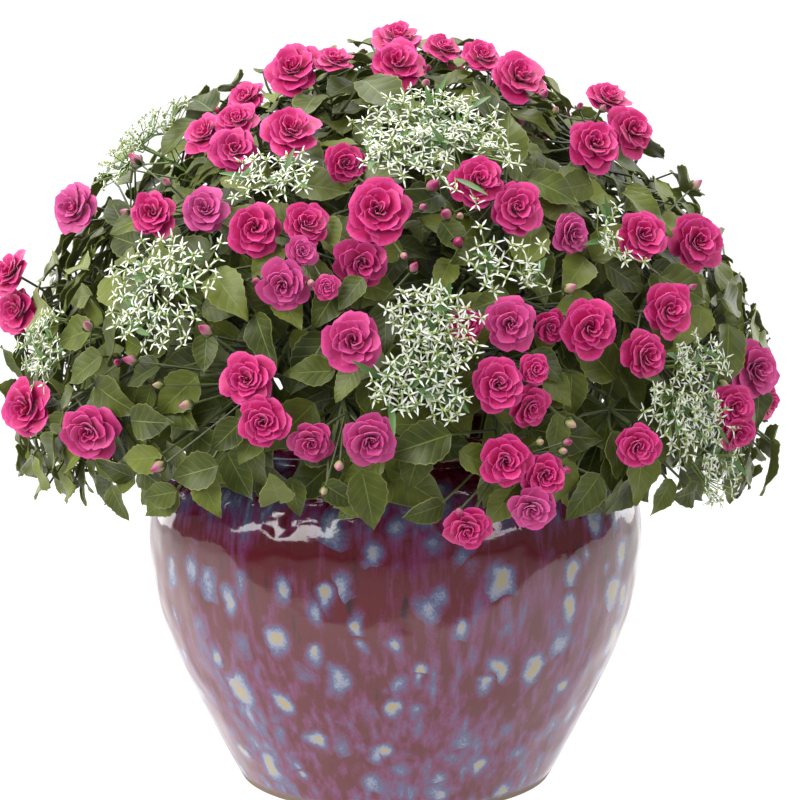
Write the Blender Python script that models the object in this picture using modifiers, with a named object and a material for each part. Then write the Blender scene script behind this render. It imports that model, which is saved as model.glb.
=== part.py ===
"""A busy lizzie in flower, with white spurge growing through it, in a glazed pot. Metres, +Z up.

The origin is the middle of the pot's flat base. The near side is the side towards -Y.
"""

import math
from collections import namedtuple

import bmesh
import bpy
import numpy as np
from mathutils import Matrix, Vector
from mathutils.bvhtree import BVHTree

# The pot, as radius and height up the outside of its wall, then up the inside.
FOOT_RADIUS = 0.1330
BELLY_RADIUS = 0.2080
LIP_RADIUS = 0.1720
NECK_WIDTH = 0.1670
LIP_TOP = 0.2940
WALL = 0.0110
BASE_THICKNESS = 0.0140
POT_SIDES = 30
OUTER_WALL = (
    (LIP_RADIUS, LIP_TOP),
    (LIP_RADIUS, 0.2815),
    (NECK_WIDTH, 0.2720),
    (0.1960, 0.2540),
    (0.2065, 0.2290),
    (BELLY_RADIUS, 0.1930),
    (0.1990, 0.1420),
    (0.1828, 0.0990),
    (0.1613, 0.0550),
    (FOOT_RADIUS, 0.0),
)
INNER_WALL = (
    (FOOT_RADIUS - WALL, BASE_THICKNESS),
    (0.1970 - WALL, 0.1300),
    (BELLY_RADIUS - WALL, 0.1930),
    (NECK_WIDTH - WALL, 0.2600),
    (LIP_RADIUS - WALL - 0.0040, LIP_TOP),
)
DRAIN_RADIUS = 0.0090
DRAIN_RING = 0.0600
DRAIN_SIDES = 12
DRAINS = 3
GAP = 0.0003

# The soil fills the pot to a little below its lip. Stems stand in square holes in it.
SOIL_TOP = 0.2640
STEM_DEPTH = 0.0500
HOLE_SIDES = 4

# The mound that the leaves and flowers make, and how stems rise from the soil and arch out to its skin.
MOUND_HEIGHT = 0.3000
MOUND_RADIUS = 0.3180
LOWEST = math.radians(103)
LOWEST_STEM = math.radians(87)
ROOT_SPREAD = 0.1200
RISE = 0.1200
KNEE = 0.72
ARCH = 0.0500

# The leafy stems of the busy lizzie. Reaches are shares of the way from the soil to the mound's skin.
STEMS = 12
STEM_RADIUS = 0.0042
STEM_STEPS = 5
BRANCH_RADIUS = 0.0024
BRANCH_STEPS = 3
FORK = 0.42
FORK_STEP = 0.035
FORK_OVERLAP = 0.0010
BRANCH_END = 0.86
SHOOT_SPOTS = 80
SHOOT_SPACING = math.radians(21)

# The leaves: some in whorls round the ends of the branches, the others wherever the mound is bare.
# Rows are shares of a blade's length. A spot is bare if a core through it, from above to below, is free.
LEAVES = 140
WHORL_LEAVES = 42
LEAF_TRIES = 10
LOWEST_TIP = 0.2380
FILL_SPOTS = 1500
FILL_STRAY = 0.03
FILL_DEPTH = 0.0040
FILL_CORE = 0.0010
FILL_CORE_ENDS = (0.0150, -0.0200)
FILL_DROOP = 0.9
FILL_RISE = 0.3
FILL_TIPS = 8
ROOT_SHARES = (0.2, 0.4, 0.6, 0.8)
LONGEST_PETIOLE = 0.0720
WHORL_TOP = 0.0040
WHORL_STEP = 0.0045
PETIOLE_WIDTH = 0.0022
PETIOLE_LENGTHS = (0.018, 0.034)
PETIOLE_RISES = (0.2, 0.9)
LEAF_LENGTHS = (0.042, 0.053)
LEAF_PROPORTION = 0.66
LEAF_ROWS = (0.0, 0.42, 1.0)
LEAF_FOLD = 0.34
LEAF_CURLS = (0.08, 0.30)
LEAF_DROOP = 0.7
LEAF_TILT = 0.25
BLADE_THICKNESS = 0.0009
CLEARANCE = 0.0012

# A flower: an outer frill with a lobe for every other side, and a cup of petals with half as many sides.
# Radii and heights are shares of half its width. A room is a profile that holds the whole thing.
FLOWER_SIDES = 10
FLOWER_MIDDLE = 0.20
CUP_RIM = (0.62, 0.44)
CUP_FOOT = (0.58, 0.08)
FRILL = (1.00, 0.20)
FRILL_LOBE = 0.14
FRILL_SWAY = 0.05
FLOWER_BACK = -0.52
FLOWER_ROOM = ((0.03, FLOWER_BACK), (1.06, 0.0), (1.10, 0.34), (0.60, 0.54), (0.03, 0.54))
TURN_OUT = 0.35

# The buds, and the stalks of a head, which part from a short neck on the end of a branch.
BUD_SIDES = 5
BUD_WIDTH = 0.0080
BUD_LENGTH = 0.0130
BUD_ROOM = ((0.03, -0.5), (0.55, 0.0), (0.03, 0.5))
BUD_HEIGHT = 0.0040
NEAREST_HEADS = 4
NECK_LENGTH = 0.0200
NECK_RADIUS = 0.0018
PARTING = (0.38, 0.7)
PEDICEL_RADIUS = 0.0012
PEDICEL_END = (0.32, -0.12)

# The white spurge: thin stalks with twigs near their ends, and a star of small bracts on each twig.
STALK_RADIUS = 0.0013
STALK_STEPS = 5
STALK_END = 0.86
STALK_TRIES = 90
STALK_STRAY = 0.014
TWIG_RADIUS = 0.0009
TWIGS = 4
TWIG_TRIES = 9
TWIG_FEET = (0.04, 0.11)
SPRAY_HEIGHT = 0.0020
SPRAY_DOME = 0.12
BRACTS = 3
BRACT_LENGTH = 0.0120
BRACT_RISE = 0.3
STAR_NOTCH = 0.0022
STAR_DEPTH = 0.0014
STAR_ROOM = ((0.10, -0.2), (1.0, -0.1), (1.0, 0.4), (0.10, 0.4))

# Where the near side is seen from, and the size of the view in pixels.
VIEW_DISTANCE = 1.2890
VIEW_HEIGHT = 0.3816
VIEW_ASIDE = 0.0038
VIEW_TILT = math.radians(3.0)
FOCAL_PIXELS = 1516.0
VIEW_MIDDLE = 400.0

Flower = namedtuple("Flower", "px py width across up sunk", defaults=(0.0, 0.0, 0.0))
Spray = namedtuple("Spray", "px py spread")
Leaf = namedtuple("Leaf", "stem root base axis side normal length curl")

# The near heads: each flower's middle in the view in pixels, its width in millimetres, the way it faces
# across and up from straight at the viewer, and how many millimetres it sits below the mound's skin.
NEAR_HEADS = (
    (Flower(398, 38, 42, 0.0, 0.9), Flower(397, 63, 41, 0.0, 0.2), Flower(443, 48, 30, 0.3, 0.8)),
    (Flower(482, 56, 34, 0.2, 0.5), Flower(519, 76, 44, 0.2, 0.3)),
    (Flower(293, 69, 43, -0.1, 0.2), Flower(334, 60, 30, 0.1, 1.0)),
    (
        Flower(246, 98, 30, -0.5, 0.3),
        Flower(237, 120, 31, 0.0, 0.4),
        Flower(291, 130, 41, 0.2, 0.5),
        Flower(204, 134, 34, -0.5, 0.5),
        Flower(235, 150, 36, 0.1, 0.1),
    ),
    (
        Flower(345, 163, 30, 0.4, -0.2, 10),
        Flower(378, 211, 47),
        Flower(362, 262, 37, 0.2, -0.5, 18),
    ),
    (Flower(74, 209, 42, -0.3, 0.0),),
    (Flower(153, 213, 35, 0.0, 0.0), Flower(205, 210, 35, 0.1, 0.1)),
    (
        Flower(255, 228, 37, 0.1, -0.1),
        Flower(306, 224, 33, 0.5, 0.2, 6),
        Flower(302, 252, 22, 0.5, 0.1),
        Flower(283, 285, 35, 0.0, -0.4),
        Flower(327, 287, 18, 0.2, -0.2),
    ),
    (Flower(10, 272, 38, -0.6, 0.3), Flower(17, 311, 40, -0.2, 0.0)),
    (Flower(353, 341, 41, 0.1, 0.0),),
    (Flower(247, 380, 38, -0.1, 0.1), Flower(263, 422, 36, 0.1, -0.2)),
    (Flower(26, 409, 44, -0.3, 0.0), Flower(89, 432, 43, 0.0, -0.4)),
    (Flower(312, 442, 30, 0.1, -0.6, 14), Flower(371, 440, 37, 0.2, -0.4)),
    (Flower(607, 98, 38, 0.2, 0.7), Flower(595, 144, 41), Flower(631, 130, 41, 0.4, 0.1)),
    (
        Flower(479, 181, 39, 0.1, 0.1),
        Flower(516, 208, 38, 0.2, 0.0, 4),
        Flower(571, 233, 33, 0.8, -0.2, 6),
    ),
    (Flower(642, 235, 38, 0.1, 0.1), Flower(697, 241, 43, 0.1, -0.1)),
    (
        Flower(510, 323, 37, 0.0, -0.1),
        Flower(465, 324, 25, -0.3, 0.0, 10),
        Flower(550, 327, 25, 0.3, -0.4, 12),
        Flower(590, 328, 40, 0.0, -0.1),
    ),
    (Flower(669, 310, 38, 0.1, -0.1), Flower(645, 355, 36, 0.5, -0.1)),
    (
        Flower(756, 369, 44, 0.2, 0.0),
        Flower(768, 402, 28, 0.8, -0.3, 8),
        Flower(734, 407, 33, 0.1, 0.0),
        Flower(738, 432, 31, 0.2, -0.5),
    ),
    (
        Flower(498, 384, 38),
        Flower(535, 370, 22, 0.2, 0.0),
        Flower(530, 407, 29, 0.5, -0.4, 6),
    ),
    (Flower(638, 446, 32, 0.0, -0.2),),
    (
        Flower(506, 461, 36, 0.0, -0.1),
        Flower(545, 475, 32, 0.1, -0.1),
        Flower(533, 508, 34, -0.1, -0.6),
        Flower(468, 528, 32, 0.0, -0.6),
    ),
)
# The near sprays of spurge: the patch's middle in the view in pixels, and its half width in millimetres.
NEAR_SPRAYS = (
    Spray(435, 142, 52),
    Spray(430, 352, 42),
    Spray(162, 288, 44),
    Spray(272, 178, 30),
    Spray(138, 138, 46),
    Spray(690, 392, 44),
    Spray(505, 268, 28),
    Spray(618, 238, 22),
    Spray(38, 350, 30),
    Spray(722, 465, 26),
)
# The near buds: where each is seen, in pixels.
NEAR_BUDS = (
    (135, 159), (88, 326), (130, 360), (265, 347), (158, 467), (339, 466), (426, 83), (544, 94),
    (433, 185), (446, 214), (458, 242), (542, 221), (414, 267), (570, 288), (696, 185), (668, 280),
    (604, 355), (743, 383), (571, 424), (400, 432), (186, 405), (205, 330),
)
# The far side's own heads and sprays, as bearings round the pot and angles above its lip, in degrees.
FAR_HEADS = (
    (62, 20), (88, 50), (40, 58), (112, 12), (118, 40), (90, -2),
    (78, 76), (142, 24), (38, 6), (148, 52), (62, -8),
)
FAR_FLOWERS = (3, 2)
FAR_WIDTHS = (34, 44)
FAR_RING = 0.0300
FAR_BUDS = 1
FAR_SPRAYS = ((70, 36), (128, 62), (104, -6))
FAR_SPREAD = 44
FAR_SWAY = 0.25
FAR_TURN_OUT = 12
BUD_STRAY = 0.028
SEED = 7
GOLDEN_TURN = math.pi * (3.0 - math.sqrt(5.0))
ASKEW = (0.31, 0.17, 0.93)

GREEN = ((0.075, 0.150, 0.040), 0.55)
MAGENTA = ((0.710, 0.030, 0.250), 0.60)
WHITE = ((0.800, 0.840, 0.640), 0.60)
OXBLOOD = ((0.230, 0.030, 0.050), 0.15)
PEAT = ((0.045, 0.028, 0.018), 0.95)


def unit(vector):
    """The vector at a length of one."""
    vector = np.asarray(vector, float)
    return vector / np.linalg.norm(vector)


def across_from(direction):
    """Two directions at right angles to one direction and to each other."""
    side = unit(np.cross(direction, ASKEW))
    return side, np.cross(side, direction)


def view_axes():
    """The view's own axes: to the right, up and away from the viewer."""
    right = np.array((1.0, 0.0, 0.0))
    up = np.array((0.0, math.sin(VIEW_TILT), math.cos(VIEW_TILT)))
    away = np.array((0.0, math.cos(VIEW_TILT), -math.sin(VIEW_TILT)))
    return right, up, away


def seen_at(px, py, radius):
    """The point of the mound, at that radius, that is seen at a pixel; past its edge, the nearest to it."""
    right, up, away = view_axes()
    eye = np.array((VIEW_ASIDE, -VIEW_DISTANCE, VIEW_HEIGHT))
    line = unit(away * FOCAL_PIXELS + right * (px - VIEW_MIDDLE) + up * (VIEW_MIDDLE - py))
    middle = np.array((0.0, 0.0, MOUND_HEIGHT)) - eye
    along = middle @ line
    short = radius**2 - (middle @ middle - along**2)
    return eye + line * (along - math.sqrt(max(short, 0.0)))


def outwards(point):
    """The direction of a point from the middle of the mound."""
    return unit(np.asarray(point) - (0.0, 0.0, MOUND_HEIGHT))


def bearing(around, above):
    """The direction at an angle round the pot, from +X towards +Y, and one above its lip, in degrees."""
    around, above = math.radians(around), math.radians(above)
    flat = math.cos(above)
    return np.array((flat * math.cos(around), flat * math.sin(around), math.sin(above)))


def fan(direction, reach):
    """A point on the way that a stem takes in one direction: reach is 0 at the soil and 1 at the skin.

    Stems rise first, so that they clear the pot's lip, and ways in two directions never cross.
    """
    polar = math.acos(max(-1.0, min(1.0, direction[2])))
    out, high = math.sin(polar) * MOUND_RADIUS, math.cos(polar) * MOUND_RADIUS
    spread = ROOT_SPREAD * polar / LOWEST
    knots = (
        (spread, SOIL_TOP),
        (spread, SOIL_TOP + RISE),
        (KNEE * out, MOUND_HEIGHT + KNEE * high + ARCH * math.sin(polar)),
        (out, MOUND_HEIGHT + high),
    )
    left = 1.0 - reach
    shares = (left**3, 3 * left**2 * reach, 3 * left * reach**2, reach**3)
    flat, height = (sum(s * k[axis] for s, k in zip(shares, knots)) for axis in (0, 1))
    round_pot = unit((direction[0], direction[1], 0.0)) if math.sin(polar) > 1e-6 else np.zeros(3)
    return round_pot * flat + np.array((0.0, 0.0, height))


def spiral(count, lowest):
    """Directions spread evenly from the top of the mound down to an angle from it, each a golden turn on."""
    for index in range(count):
        height = 1.0 - (index + 0.5) / count * (1.0 - math.cos(lowest))
        flat = math.sqrt(1.0 - height * height)
        turn = index * GOLDEN_TURN
        yield np.array((flat * math.cos(turn), flat * math.sin(turn), height))


def clears_pot(rings):
    """Whether rings of points keep clear of the pot."""
    points = np.asarray(rings).reshape(-1, 3)
    radii, heights = zip(*reversed(OUTER_WALL))
    low = points[points[:, 2] < LIP_TOP + CLEARANCE * 2]
    pot = np.interp(low[:, 2], heights, radii)
    return not (np.hypot(low[:, 0], low[:, 1]) < pot + CLEARANCE * 3).any()


def ring(middle, facing, radius, sides=4):
    """Points in a circle round a middle, across a direction."""
    side, over = across_from(facing)
    turns = np.linspace(0.0, math.tau, sides, endpoint=False)[:, None]
    return np.asarray(middle) + (side * np.cos(turns) + over * np.sin(turns)) * radius


def rod_room(points, radius):
    """Square rings that hold a rod through points."""
    along = unit(np.asarray(points[-1]) - points[0])
    return [ring(point, along, (radius + CLEARANCE) * math.sqrt(2.0)) for point in points]


def turned_room(middle, facing, size, profile):
    """Rings that hold a turned shape. The profile is radius and height, as shares of a size."""
    return [ring(middle + facing * high * size, facing, radius * size, 10) for radius, high in profile]


def blade_width(along):
    """A leaf blade's half width, as a share of its widest, at a share of its length."""
    along = np.clip(along, 0.0, 1.0)
    return 2.45 * along**0.62 * (1.0 - along) ** 0.78 * (1.16 - 0.22 * along)


def blade_point(leaf, along, across):
    """A point on a leaf's blade: along runs from base to tip, across from -1 to 1."""
    half = leaf.length * LEAF_PROPORTION / 2 * blade_width(along) * across
    lift = abs(half) * LEAF_FOLD - leaf.curl * leaf.length * along**2
    return leaf.base + leaf.axis * leaf.length * along + leaf.side * half + leaf.normal * lift


def leaf_room(leaf):
    """Rings that hold a leaf's stalk, but for its foot, and rings that hold its blade."""
    start = leaf.root + (leaf.base - leaf.root) * 0.35
    stalk = rod_room((start, leaf.base), PETIOLE_WIDTH / 2)
    rim = leaf.side * CLEARANCE * 1.5
    thick = leaf.normal * (CLEARANCE * 1.5 + BLADE_THICKNESS)
    blade = []
    for along in np.linspace(0.0, 1.0, 8):
        left, middle, right = (blade_point(leaf, along, across) for across in (-1.0, 0.0, 1.0))
        blade.append(np.array((left - rim, middle + thick, right + rim, middle - thick)))
    return stalk, blade


def stalk_end(flower, start):
    """Where a flower's stalk ends inside it: off its axis, on the side that the stalk comes from."""
    middle, facing, width = flower
    aside = start - middle
    aside = unit(aside - facing * (aside @ facing) + facing * 1e-6)
    return middle + (aside * PEDICEL_END[0] + facing * PEDICEL_END[1]) * width / 2


class Room:
    """The room that is taken. Each thing in it is a closed surface, which others may not meet."""

    def __init__(self):
        self.things = []
        self.middles = np.zeros((0, 3))
        self.spans = np.zeros(0)

    def measure(self, rings):
        """The surface through rings of points, one after another, with its middle and its span from there."""
        rings = np.asarray(rings)
        points = rings.reshape(-1, 3)
        count, sides = rings.shape[:2]
        faces = []
        for low in range(0, (count - 1) * sides, sides):
            for side in range(sides):
                after = (side + 1) % sides
                faces.append((low + side, low + after, low + sides + after, low + sides + side))
        middle = points.mean(0)
        span = np.linalg.norm(points - middle, axis=1).max()
        return BVHTree.FromPolygons(points.tolist(), faces), middle, span

    def take(self, rings, owner):
        """Takes the room inside rings of points."""
        surface, middle, span = self.measure(rings)
        self.things.append((surface, owner))
        self.middles = np.vstack((self.middles, middle))
        self.spans = np.append(self.spans, span)

    def is_clear(self, rings, owner=None):
        """Whether the room inside rings is free, apart from that of their own owner."""
        surface, middle, span = self.measure(rings)
        near = np.linalg.norm(self.middles - middle, axis=1) < self.spans + span
        others = [self.things[index] for index in np.flatnonzero(near)]
        return not any(other.overlap(surface) for other, of in others if owner is None or of != owner)


class Plan:
    """Where every stem, flower, bud, spray and leaf grows, each clear of the others."""

    def __init__(self):
        self.draw = np.random.default_rng(SEED)
        self.room = Room()
        self.heads = [self.near_head(head) for head in NEAR_HEADS]
        self.heads += [self.far_head(index, *place) for index, place in enumerate(FAR_HEADS)]
        self.tips = [outwards(np.mean([middle - facing * 0.02 for middle, facing, width in head], 0))
                     for head in self.heads]
        self.tips += self.shoots()
        self.stems = list(spiral(STEMS, LOWEST_STEM))
        self.parents = [int(np.argmax([tip @ stem for stem in self.stems])) for tip in self.tips]
        self.take_stems()
        self.buds = [[] for head in self.heads]
        for middle in self.bud_places():
            self.place_bud(middle)
        self.sprays = [(seen_at(s.px, s.py, MOUND_RADIUS + SPRAY_HEIGHT), s.spread) for s in NEAR_SPRAYS]
        self.sprays += [(fan(bearing(*place), 1.0), FAR_SPREAD) for place in FAR_SPRAYS]
        self.stalks = [self.clear_stalk(index) for index in range(len(self.sprays))]
        self.twigs = [self.place_twigs(index) for index in range(len(self.sprays))]
        self.leaves = self.place_leaves()

    def near_head(self, head):
        """The flowers of a head on the near side, each as middle, facing and width."""
        right, up, away = view_axes()
        placed = []
        for flower in head:
            middle = seen_at(flower.px, flower.py, MOUND_RADIUS - flower.sunk / 1000)
            facing = right * flower.across + up * flower.up - away + outwards(middle) * TURN_OUT
            placed.append((middle, unit(facing), flower.width / 1000))
        return placed

    def far_head(self, index, around, above):
        """The flowers of a head on the far side, in a ring round its middle."""
        middle = bearing(around, above)
        side, over = across_from(middle)
        count = FAR_FLOWERS[index % len(FAR_FLOWERS)]
        placed = []
        for number in range(count):
            turn = math.tau * (number + self.draw.uniform(-0.1, 0.1)) / count + index
            aside = (side * math.cos(turn) + over * math.sin(turn)) * FAR_RING
            facing = middle + aside * FAR_TURN_OUT + self.draw.uniform(-FAR_SWAY, FAR_SWAY, 3)
            width = self.draw.uniform(*FAR_WIDTHS) / 1000
            placed.append((fan(middle, 1.0) + aside, unit(facing), width))
        return placed

    def shoots(self):
        """The tips of shoots with no flowers, wherever the mound would be bare without one."""
        tips = list(self.tips)
        for direction in spiral(SHOOT_SPOTS, LOWEST):
            if max(tip @ direction for tip in tips) < math.cos(SHOOT_SPACING):
                tips.append(direction)
        return tips[len(self.tips):]

    def stem_way(self, stem):
        """Points up the main part of a stem, from the soil to its fork."""
        return np.array([fan(self.stems[stem], reach) for reach in np.linspace(0.0, FORK, STEM_STEPS)])

    def branch_way(self, tip):
        """Points up the branch to a tip. The branches of one stem leave it one below another."""
        parent = self.parents[tip]
        start, end = self.stems[parent], self.tips[tip]
        low = FORK - FORK_STEP * self.parents[:tip].count(parent)
        shares = np.linspace(0.0, 1.0, BRANCH_STEPS)
        return np.array([
            fan(unit(start * (1.0 - s) + end * s), low + (BRANCH_END - low) * s) for s in shares
        ])

    def stalk_way(self, direction):
        """Points up a spurge stalk, from the soil to its end."""
        return np.array([fan(direction, reach) for reach in np.linspace(0.0, STALK_END, STALK_STEPS)])

    def neck(self, head):
        """The foot of a head's neck, a gap above its branch, and its top."""
        way = self.branch_way(head)
        along = unit(way[-1] - way[-2])
        foot = way[-1] + along * GAP
        return foot, foot + along * NECK_LENGTH

    def parting(self, head, number):
        """Where a stalk of a head leaves its neck: the first at the top, and the others below it."""
        foot, top = self.neck(head)
        step, most = PARTING
        return top + (foot - top) * most * (number * step % 1.0)

    def take_stems(self):
        """Takes the room of the stems, branches, flower stalks and flowers."""
        for stem in range(STEMS):
            self.room.take(rod_room(self.stem_way(stem), STEM_RADIUS), f"stem {stem}")
        for tip, parent in enumerate(self.parents):
            way = self.branch_way(tip)
            for ends in zip(way, way[1:]):
                self.room.take(rod_room(ends, BRANCH_RADIUS), f"stem {parent}")
        for head, flowers in enumerate(self.heads):
            self.room.take(rod_room(self.neck(head), NECK_RADIUS), f"head {head}")
            for number, flower in enumerate(flowers):
                middle, facing, width = flower
                start = self.parting(head, number)
                self.room.take(rod_room((start, stalk_end(flower, start)), PEDICEL_RADIUS), f"head {head}")
                self.room.take(turned_room(middle, facing, width / 2, FLOWER_ROOM), f"head {head}")

    def bud_places(self):
        """Where buds may be: those that are seen, and some drawn near each head on the far side."""
        places = [seen_at(px, py, MOUND_RADIUS + BUD_HEIGHT) for px, py in NEAR_BUDS]
        for tip in self.tips[len(NEAR_HEADS) : len(self.heads)]:
            for number in range(FAR_BUDS):
                places.append(fan(unit(tip * MOUND_RADIUS + self.draw.normal(0.0, BUD_STRAY, 3)), 1.0))
        return places

    def place_bud(self, middle):
        """A bud on the nearest head that has a clear way to it."""
        direction = outwards(middle)
        nearest = sorted(range(len(self.heads)), key=lambda head: -(self.tips[head] @ direction))
        for head in nearest[:NEAREST_HEADS]:
            start = self.parting(head, len(self.heads[head]) + len(self.buds[head]))
            facing = unit(direction + unit(middle - start))
            bud = turned_room(middle, facing, BUD_LENGTH, BUD_ROOM)
            stalk = rod_room((start, middle), PEDICEL_RADIUS)
            if self.room.is_clear(bud) and self.room.is_clear(stalk, f"head {head}"):
                self.room.take(bud, f"head {head}")
                self.room.take(stalk, f"head {head}")
                self.buds[head].append((middle, facing))
                return

    def clear_stalk(self, index):
        """A direction, close to a spray's own, in which its stalk meets nothing."""
        direction = outwards(self.sprays[index][0])
        side, over = across_from(direction)
        for number in range(STALK_TRIES):
            turn, off = number * GOLDEN_TURN, STALK_STRAY * math.sqrt(number)
            tried = unit(direction + (side * math.cos(turn) + over * math.sin(turn)) * off)
            rings = rod_room(self.stalk_way(tried), STALK_RADIUS + CLEARANCE)
            if self.room.is_clear(rings):
                self.room.take(rings, f"spray {index}")
                return tried
        raise ValueError(f"no clear way for spurge stalk {index}")

    def place_twigs(self, index):
        """The foot and the end of each twig of a spray, where they meet nothing."""
        middle, spread = self.sprays[index]
        low, high = self.stalk_way(self.stalks[index])[-2:]
        outward = outwards(middle)
        side, over = across_from(outward)
        placed = []
        for number in range(TWIG_TRIES):
            turn, share = number * GOLDEN_TURN + index, math.sqrt((number + 0.5) / TWIG_TRIES)
            aside = (side * math.cos(turn) + over * math.sin(turn)) * share - outward * SPRAY_DOME * share**2
            end = middle + aside * spread / 1000
            foot = high + (low - high) * (TWIG_FEET[0] + TWIG_FEET[1] * len(placed))
            twig = rod_room((foot, end), TWIG_RADIUS)
            star = turned_room(end, unit(end - foot), BRACT_LENGTH, STAR_ROOM)
            if self.room.is_clear(twig, f"spray {index}") and self.room.is_clear(star):
                self.room.take(twig, f"spray {index}")
                self.room.take(star, f"spray {index}")
                placed.append((foot, end))
            if len(placed) == TWIGS:
                break
        return placed

    def place_leaves(self):
        """Leaves round the end of every branch, in turns, and then over bare spots of the mound."""
        leaves = []
        for number in range(LEAF_TRIES):
            for tip in range(len(self.tips)):
                self.grow(self.leaf_at(tip, number), leaves, WHORL_LEAVES)
        spots = list(spiral(FILL_SPOTS, LOWEST))
        for spot in self.draw.permutation(FILL_SPOTS):
            for leaf in self.leaves_over(spots[spot]):
                self.grow(leaf, leaves, LEAVES)
        return leaves

    def grow(self, leaf, leaves, most):
        """Adds a leaf if there are fewer than most, and it hangs clear of the pot and of all that is there."""
        stalk, blade = leaf_room(leaf)
        hangs_clear = min(ring[:, 2].min() for ring in blade) > LOWEST_TIP and clears_pot(stalk + blade)
        if len(leaves) < most and hangs_clear and self.room.is_clear(blade):
            if self.room.is_clear(stalk, f"stem {leaf.stem}"):
                self.room.take(stalk, f"leaf {len(leaves)}")
                self.room.take(blade, f"leaf {len(leaves)}")
                leaves.append(leaf)

    def leaves_over(self, direction):
        """One leaf over a bare spot of the mound, once for each place that it could grow from."""
        outward = unit(direction + self.draw.normal(0.0, FILL_STRAY, 3))
        turn = self.draw.uniform(0.0, math.tau)
        rise = self.draw.uniform(0.0, FILL_RISE)
        length = self.draw.uniform(*LEAF_LENGTHS)
        tilt = self.draw.uniform(-LEAF_TILT, LEAF_TILT, 3)
        curl = self.draw.uniform(*LEAF_CURLS)
        middle = (0.0, 0.0, MOUND_HEIGHT) + outward * (MOUND_RADIUS - FILL_DEPTH)
        if not self.room.is_clear(rod_room([middle + outward * end for end in FILL_CORE_ENDS], FILL_CORE)):
            return
        side, over = across_from(outward)
        down = outward * outward[2] - (0.0, 0.0, 1.0)
        axis = unit(side * math.cos(turn) + over * math.sin(turn) + down * FILL_DROOP + outward * rise)
        side = unit(np.cross(outward + tilt, axis))
        base = middle - axis * length / 2
        for tip in sorted(range(len(self.tips)), key=lambda tip: -(self.tips[tip] @ outward))[:FILL_TIPS]:
            way = self.branch_way(tip)
            roots = [low + (high - low) * share for low, high in zip(way, way[1:]) for share in ROOT_SHARES]
            for root in sorted(roots, key=lambda point: np.linalg.norm(point - base)):
                if np.linalg.norm(root - base) < LONGEST_PETIOLE:
                    yield Leaf(self.parents[tip], root, base, axis, side, np.cross(axis, side), length, curl)

    def leaf_at(self, tip, number):
        """A leaf near the end of a branch, a golden turn on from the one before, its tip hanging."""
        way = self.branch_way(tip)
        outward = outwards(way[-1])
        side, over = across_from(outward)
        turn = number * GOLDEN_TURN + tip + self.draw.uniform(-0.3, 0.3)
        aside = side * math.cos(turn) + over * math.sin(turn)
        root = way[-1] - unit(way[-1] - way[-2]) * (WHORL_TOP + WHORL_STEP * number)
        rise = unit(aside + outward * self.draw.uniform(*PETIOLE_RISES))
        base = root + rise * self.draw.uniform(*PETIOLE_LENGTHS)
        down = outward * outward[2] - (0.0, 0.0, 1.0)
        axis = unit(aside + down * LEAF_DROOP + outward * self.draw.uniform(-0.1, 0.3))
        length = self.draw.uniform(*LEAF_LENGTHS)
        normal = outwards(base + axis * length / 2) + self.draw.uniform(-LEAF_TILT, LEAF_TILT, 3)
        side = unit(np.cross(normal, axis))
        curl = self.draw.uniform(*LEAF_CURLS)
        return Leaf(self.parents[tip], root, base, axis, side, np.cross(axis, side), length, curl)


def material(name, look):
    """A plain material with a colour and a roughness."""
    colour, roughness = look
    made = bpy.data.materials.new(name)
    made.use_nodes = True
    shader = made.node_tree.nodes["Principled BSDF"]
    shader.inputs["Base Color"].default_value = (*colour, 1.0)
    shader.inputs["Roughness"].default_value = roughness
    made.diffuse_color = (*colour, 1.0)
    return made


def new_object(name, data, collection):
    """An object in a collection."""
    made = bpy.data.objects.new(name, data)
    collection.objects.link(made)
    return made


def mesh_object(name, bm, collection):
    """An object made from a bmesh, which is freed."""
    mesh = bpy.data.meshes.new(name)
    bm.to_mesh(mesh)
    bm.free()
    return new_object(name, mesh, collection)


def tube(name, points, radius, collection, end_radius=None):
    """A four-sided rod along points, as a mesh. It narrows to end_radius."""
    curve = bpy.data.curves.new(name, "CURVE")
    curve.dimensions = "3D"
    curve.bevel_depth = radius
    curve.bevel_resolution = 0
    curve.use_fill_caps = True
    spline = curve.splines.new("POLY")
    spline.points.add(len(points) - 1)
    for index, (knot, place) in enumerate(zip(spline.points, points)):
        knot.co = (*place, 1.0)
        share = index / (len(points) - 1)
        knot.radius = 1.0 + share * ((end_radius or radius) / radius - 1.0)
    rod = new_object(name + "_line", curve, collection)
    mesh = as_mesh(rod)
    bm = bmesh.new()
    bm.from_mesh(mesh)
    bmesh.ops.remove_doubles(bm, verts=bm.verts, dist=1e-6)
    bm.to_mesh(mesh)
    bm.free()
    bpy.data.objects.remove(rod)
    return new_object(name, mesh, collection)


def as_mesh(target):
    """A new mesh of an object as its modifiers make it."""
    bpy.context.view_layer.update()
    graph = bpy.context.evaluated_depsgraph_get()
    return bpy.data.meshes.new_from_object(target.evaluated_get(graph))


def facing_matrix(middle, facing, turn=0.0):
    """The placement whose +Z is a direction, with a turn about it."""
    lean = Vector(facing).to_track_quat("Z", "Y").to_matrix().to_4x4()
    return Matrix.Translation(Vector(middle)) @ lean @ Matrix.Rotation(turn, 4, "Z")


def folded_sphere(name, sides, rings, place, matrix, collection):
    """A closed shape from a sphere's mesh. place says where each ring's sides go. Points that meet merge."""
    bm = bmesh.new()
    bmesh.ops.create_uvsphere(bm, u_segments=sides, v_segments=rings, radius=1.0)
    for vertex in bm.verts:
        ring_number = round(math.acos(max(-1.0, min(1.0, vertex.co.z))) / math.pi * rings)
        side = round(math.atan2(vertex.co.y, vertex.co.x) / math.tau * sides) % sides
        vertex.co = place(ring_number, side)
    bmesh.ops.remove_doubles(bm, verts=bm.verts, dist=1e-7)
    bmesh.ops.transform(bm, matrix=matrix, verts=bm.verts)
    return mesh_object(name, bm, collection)


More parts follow.
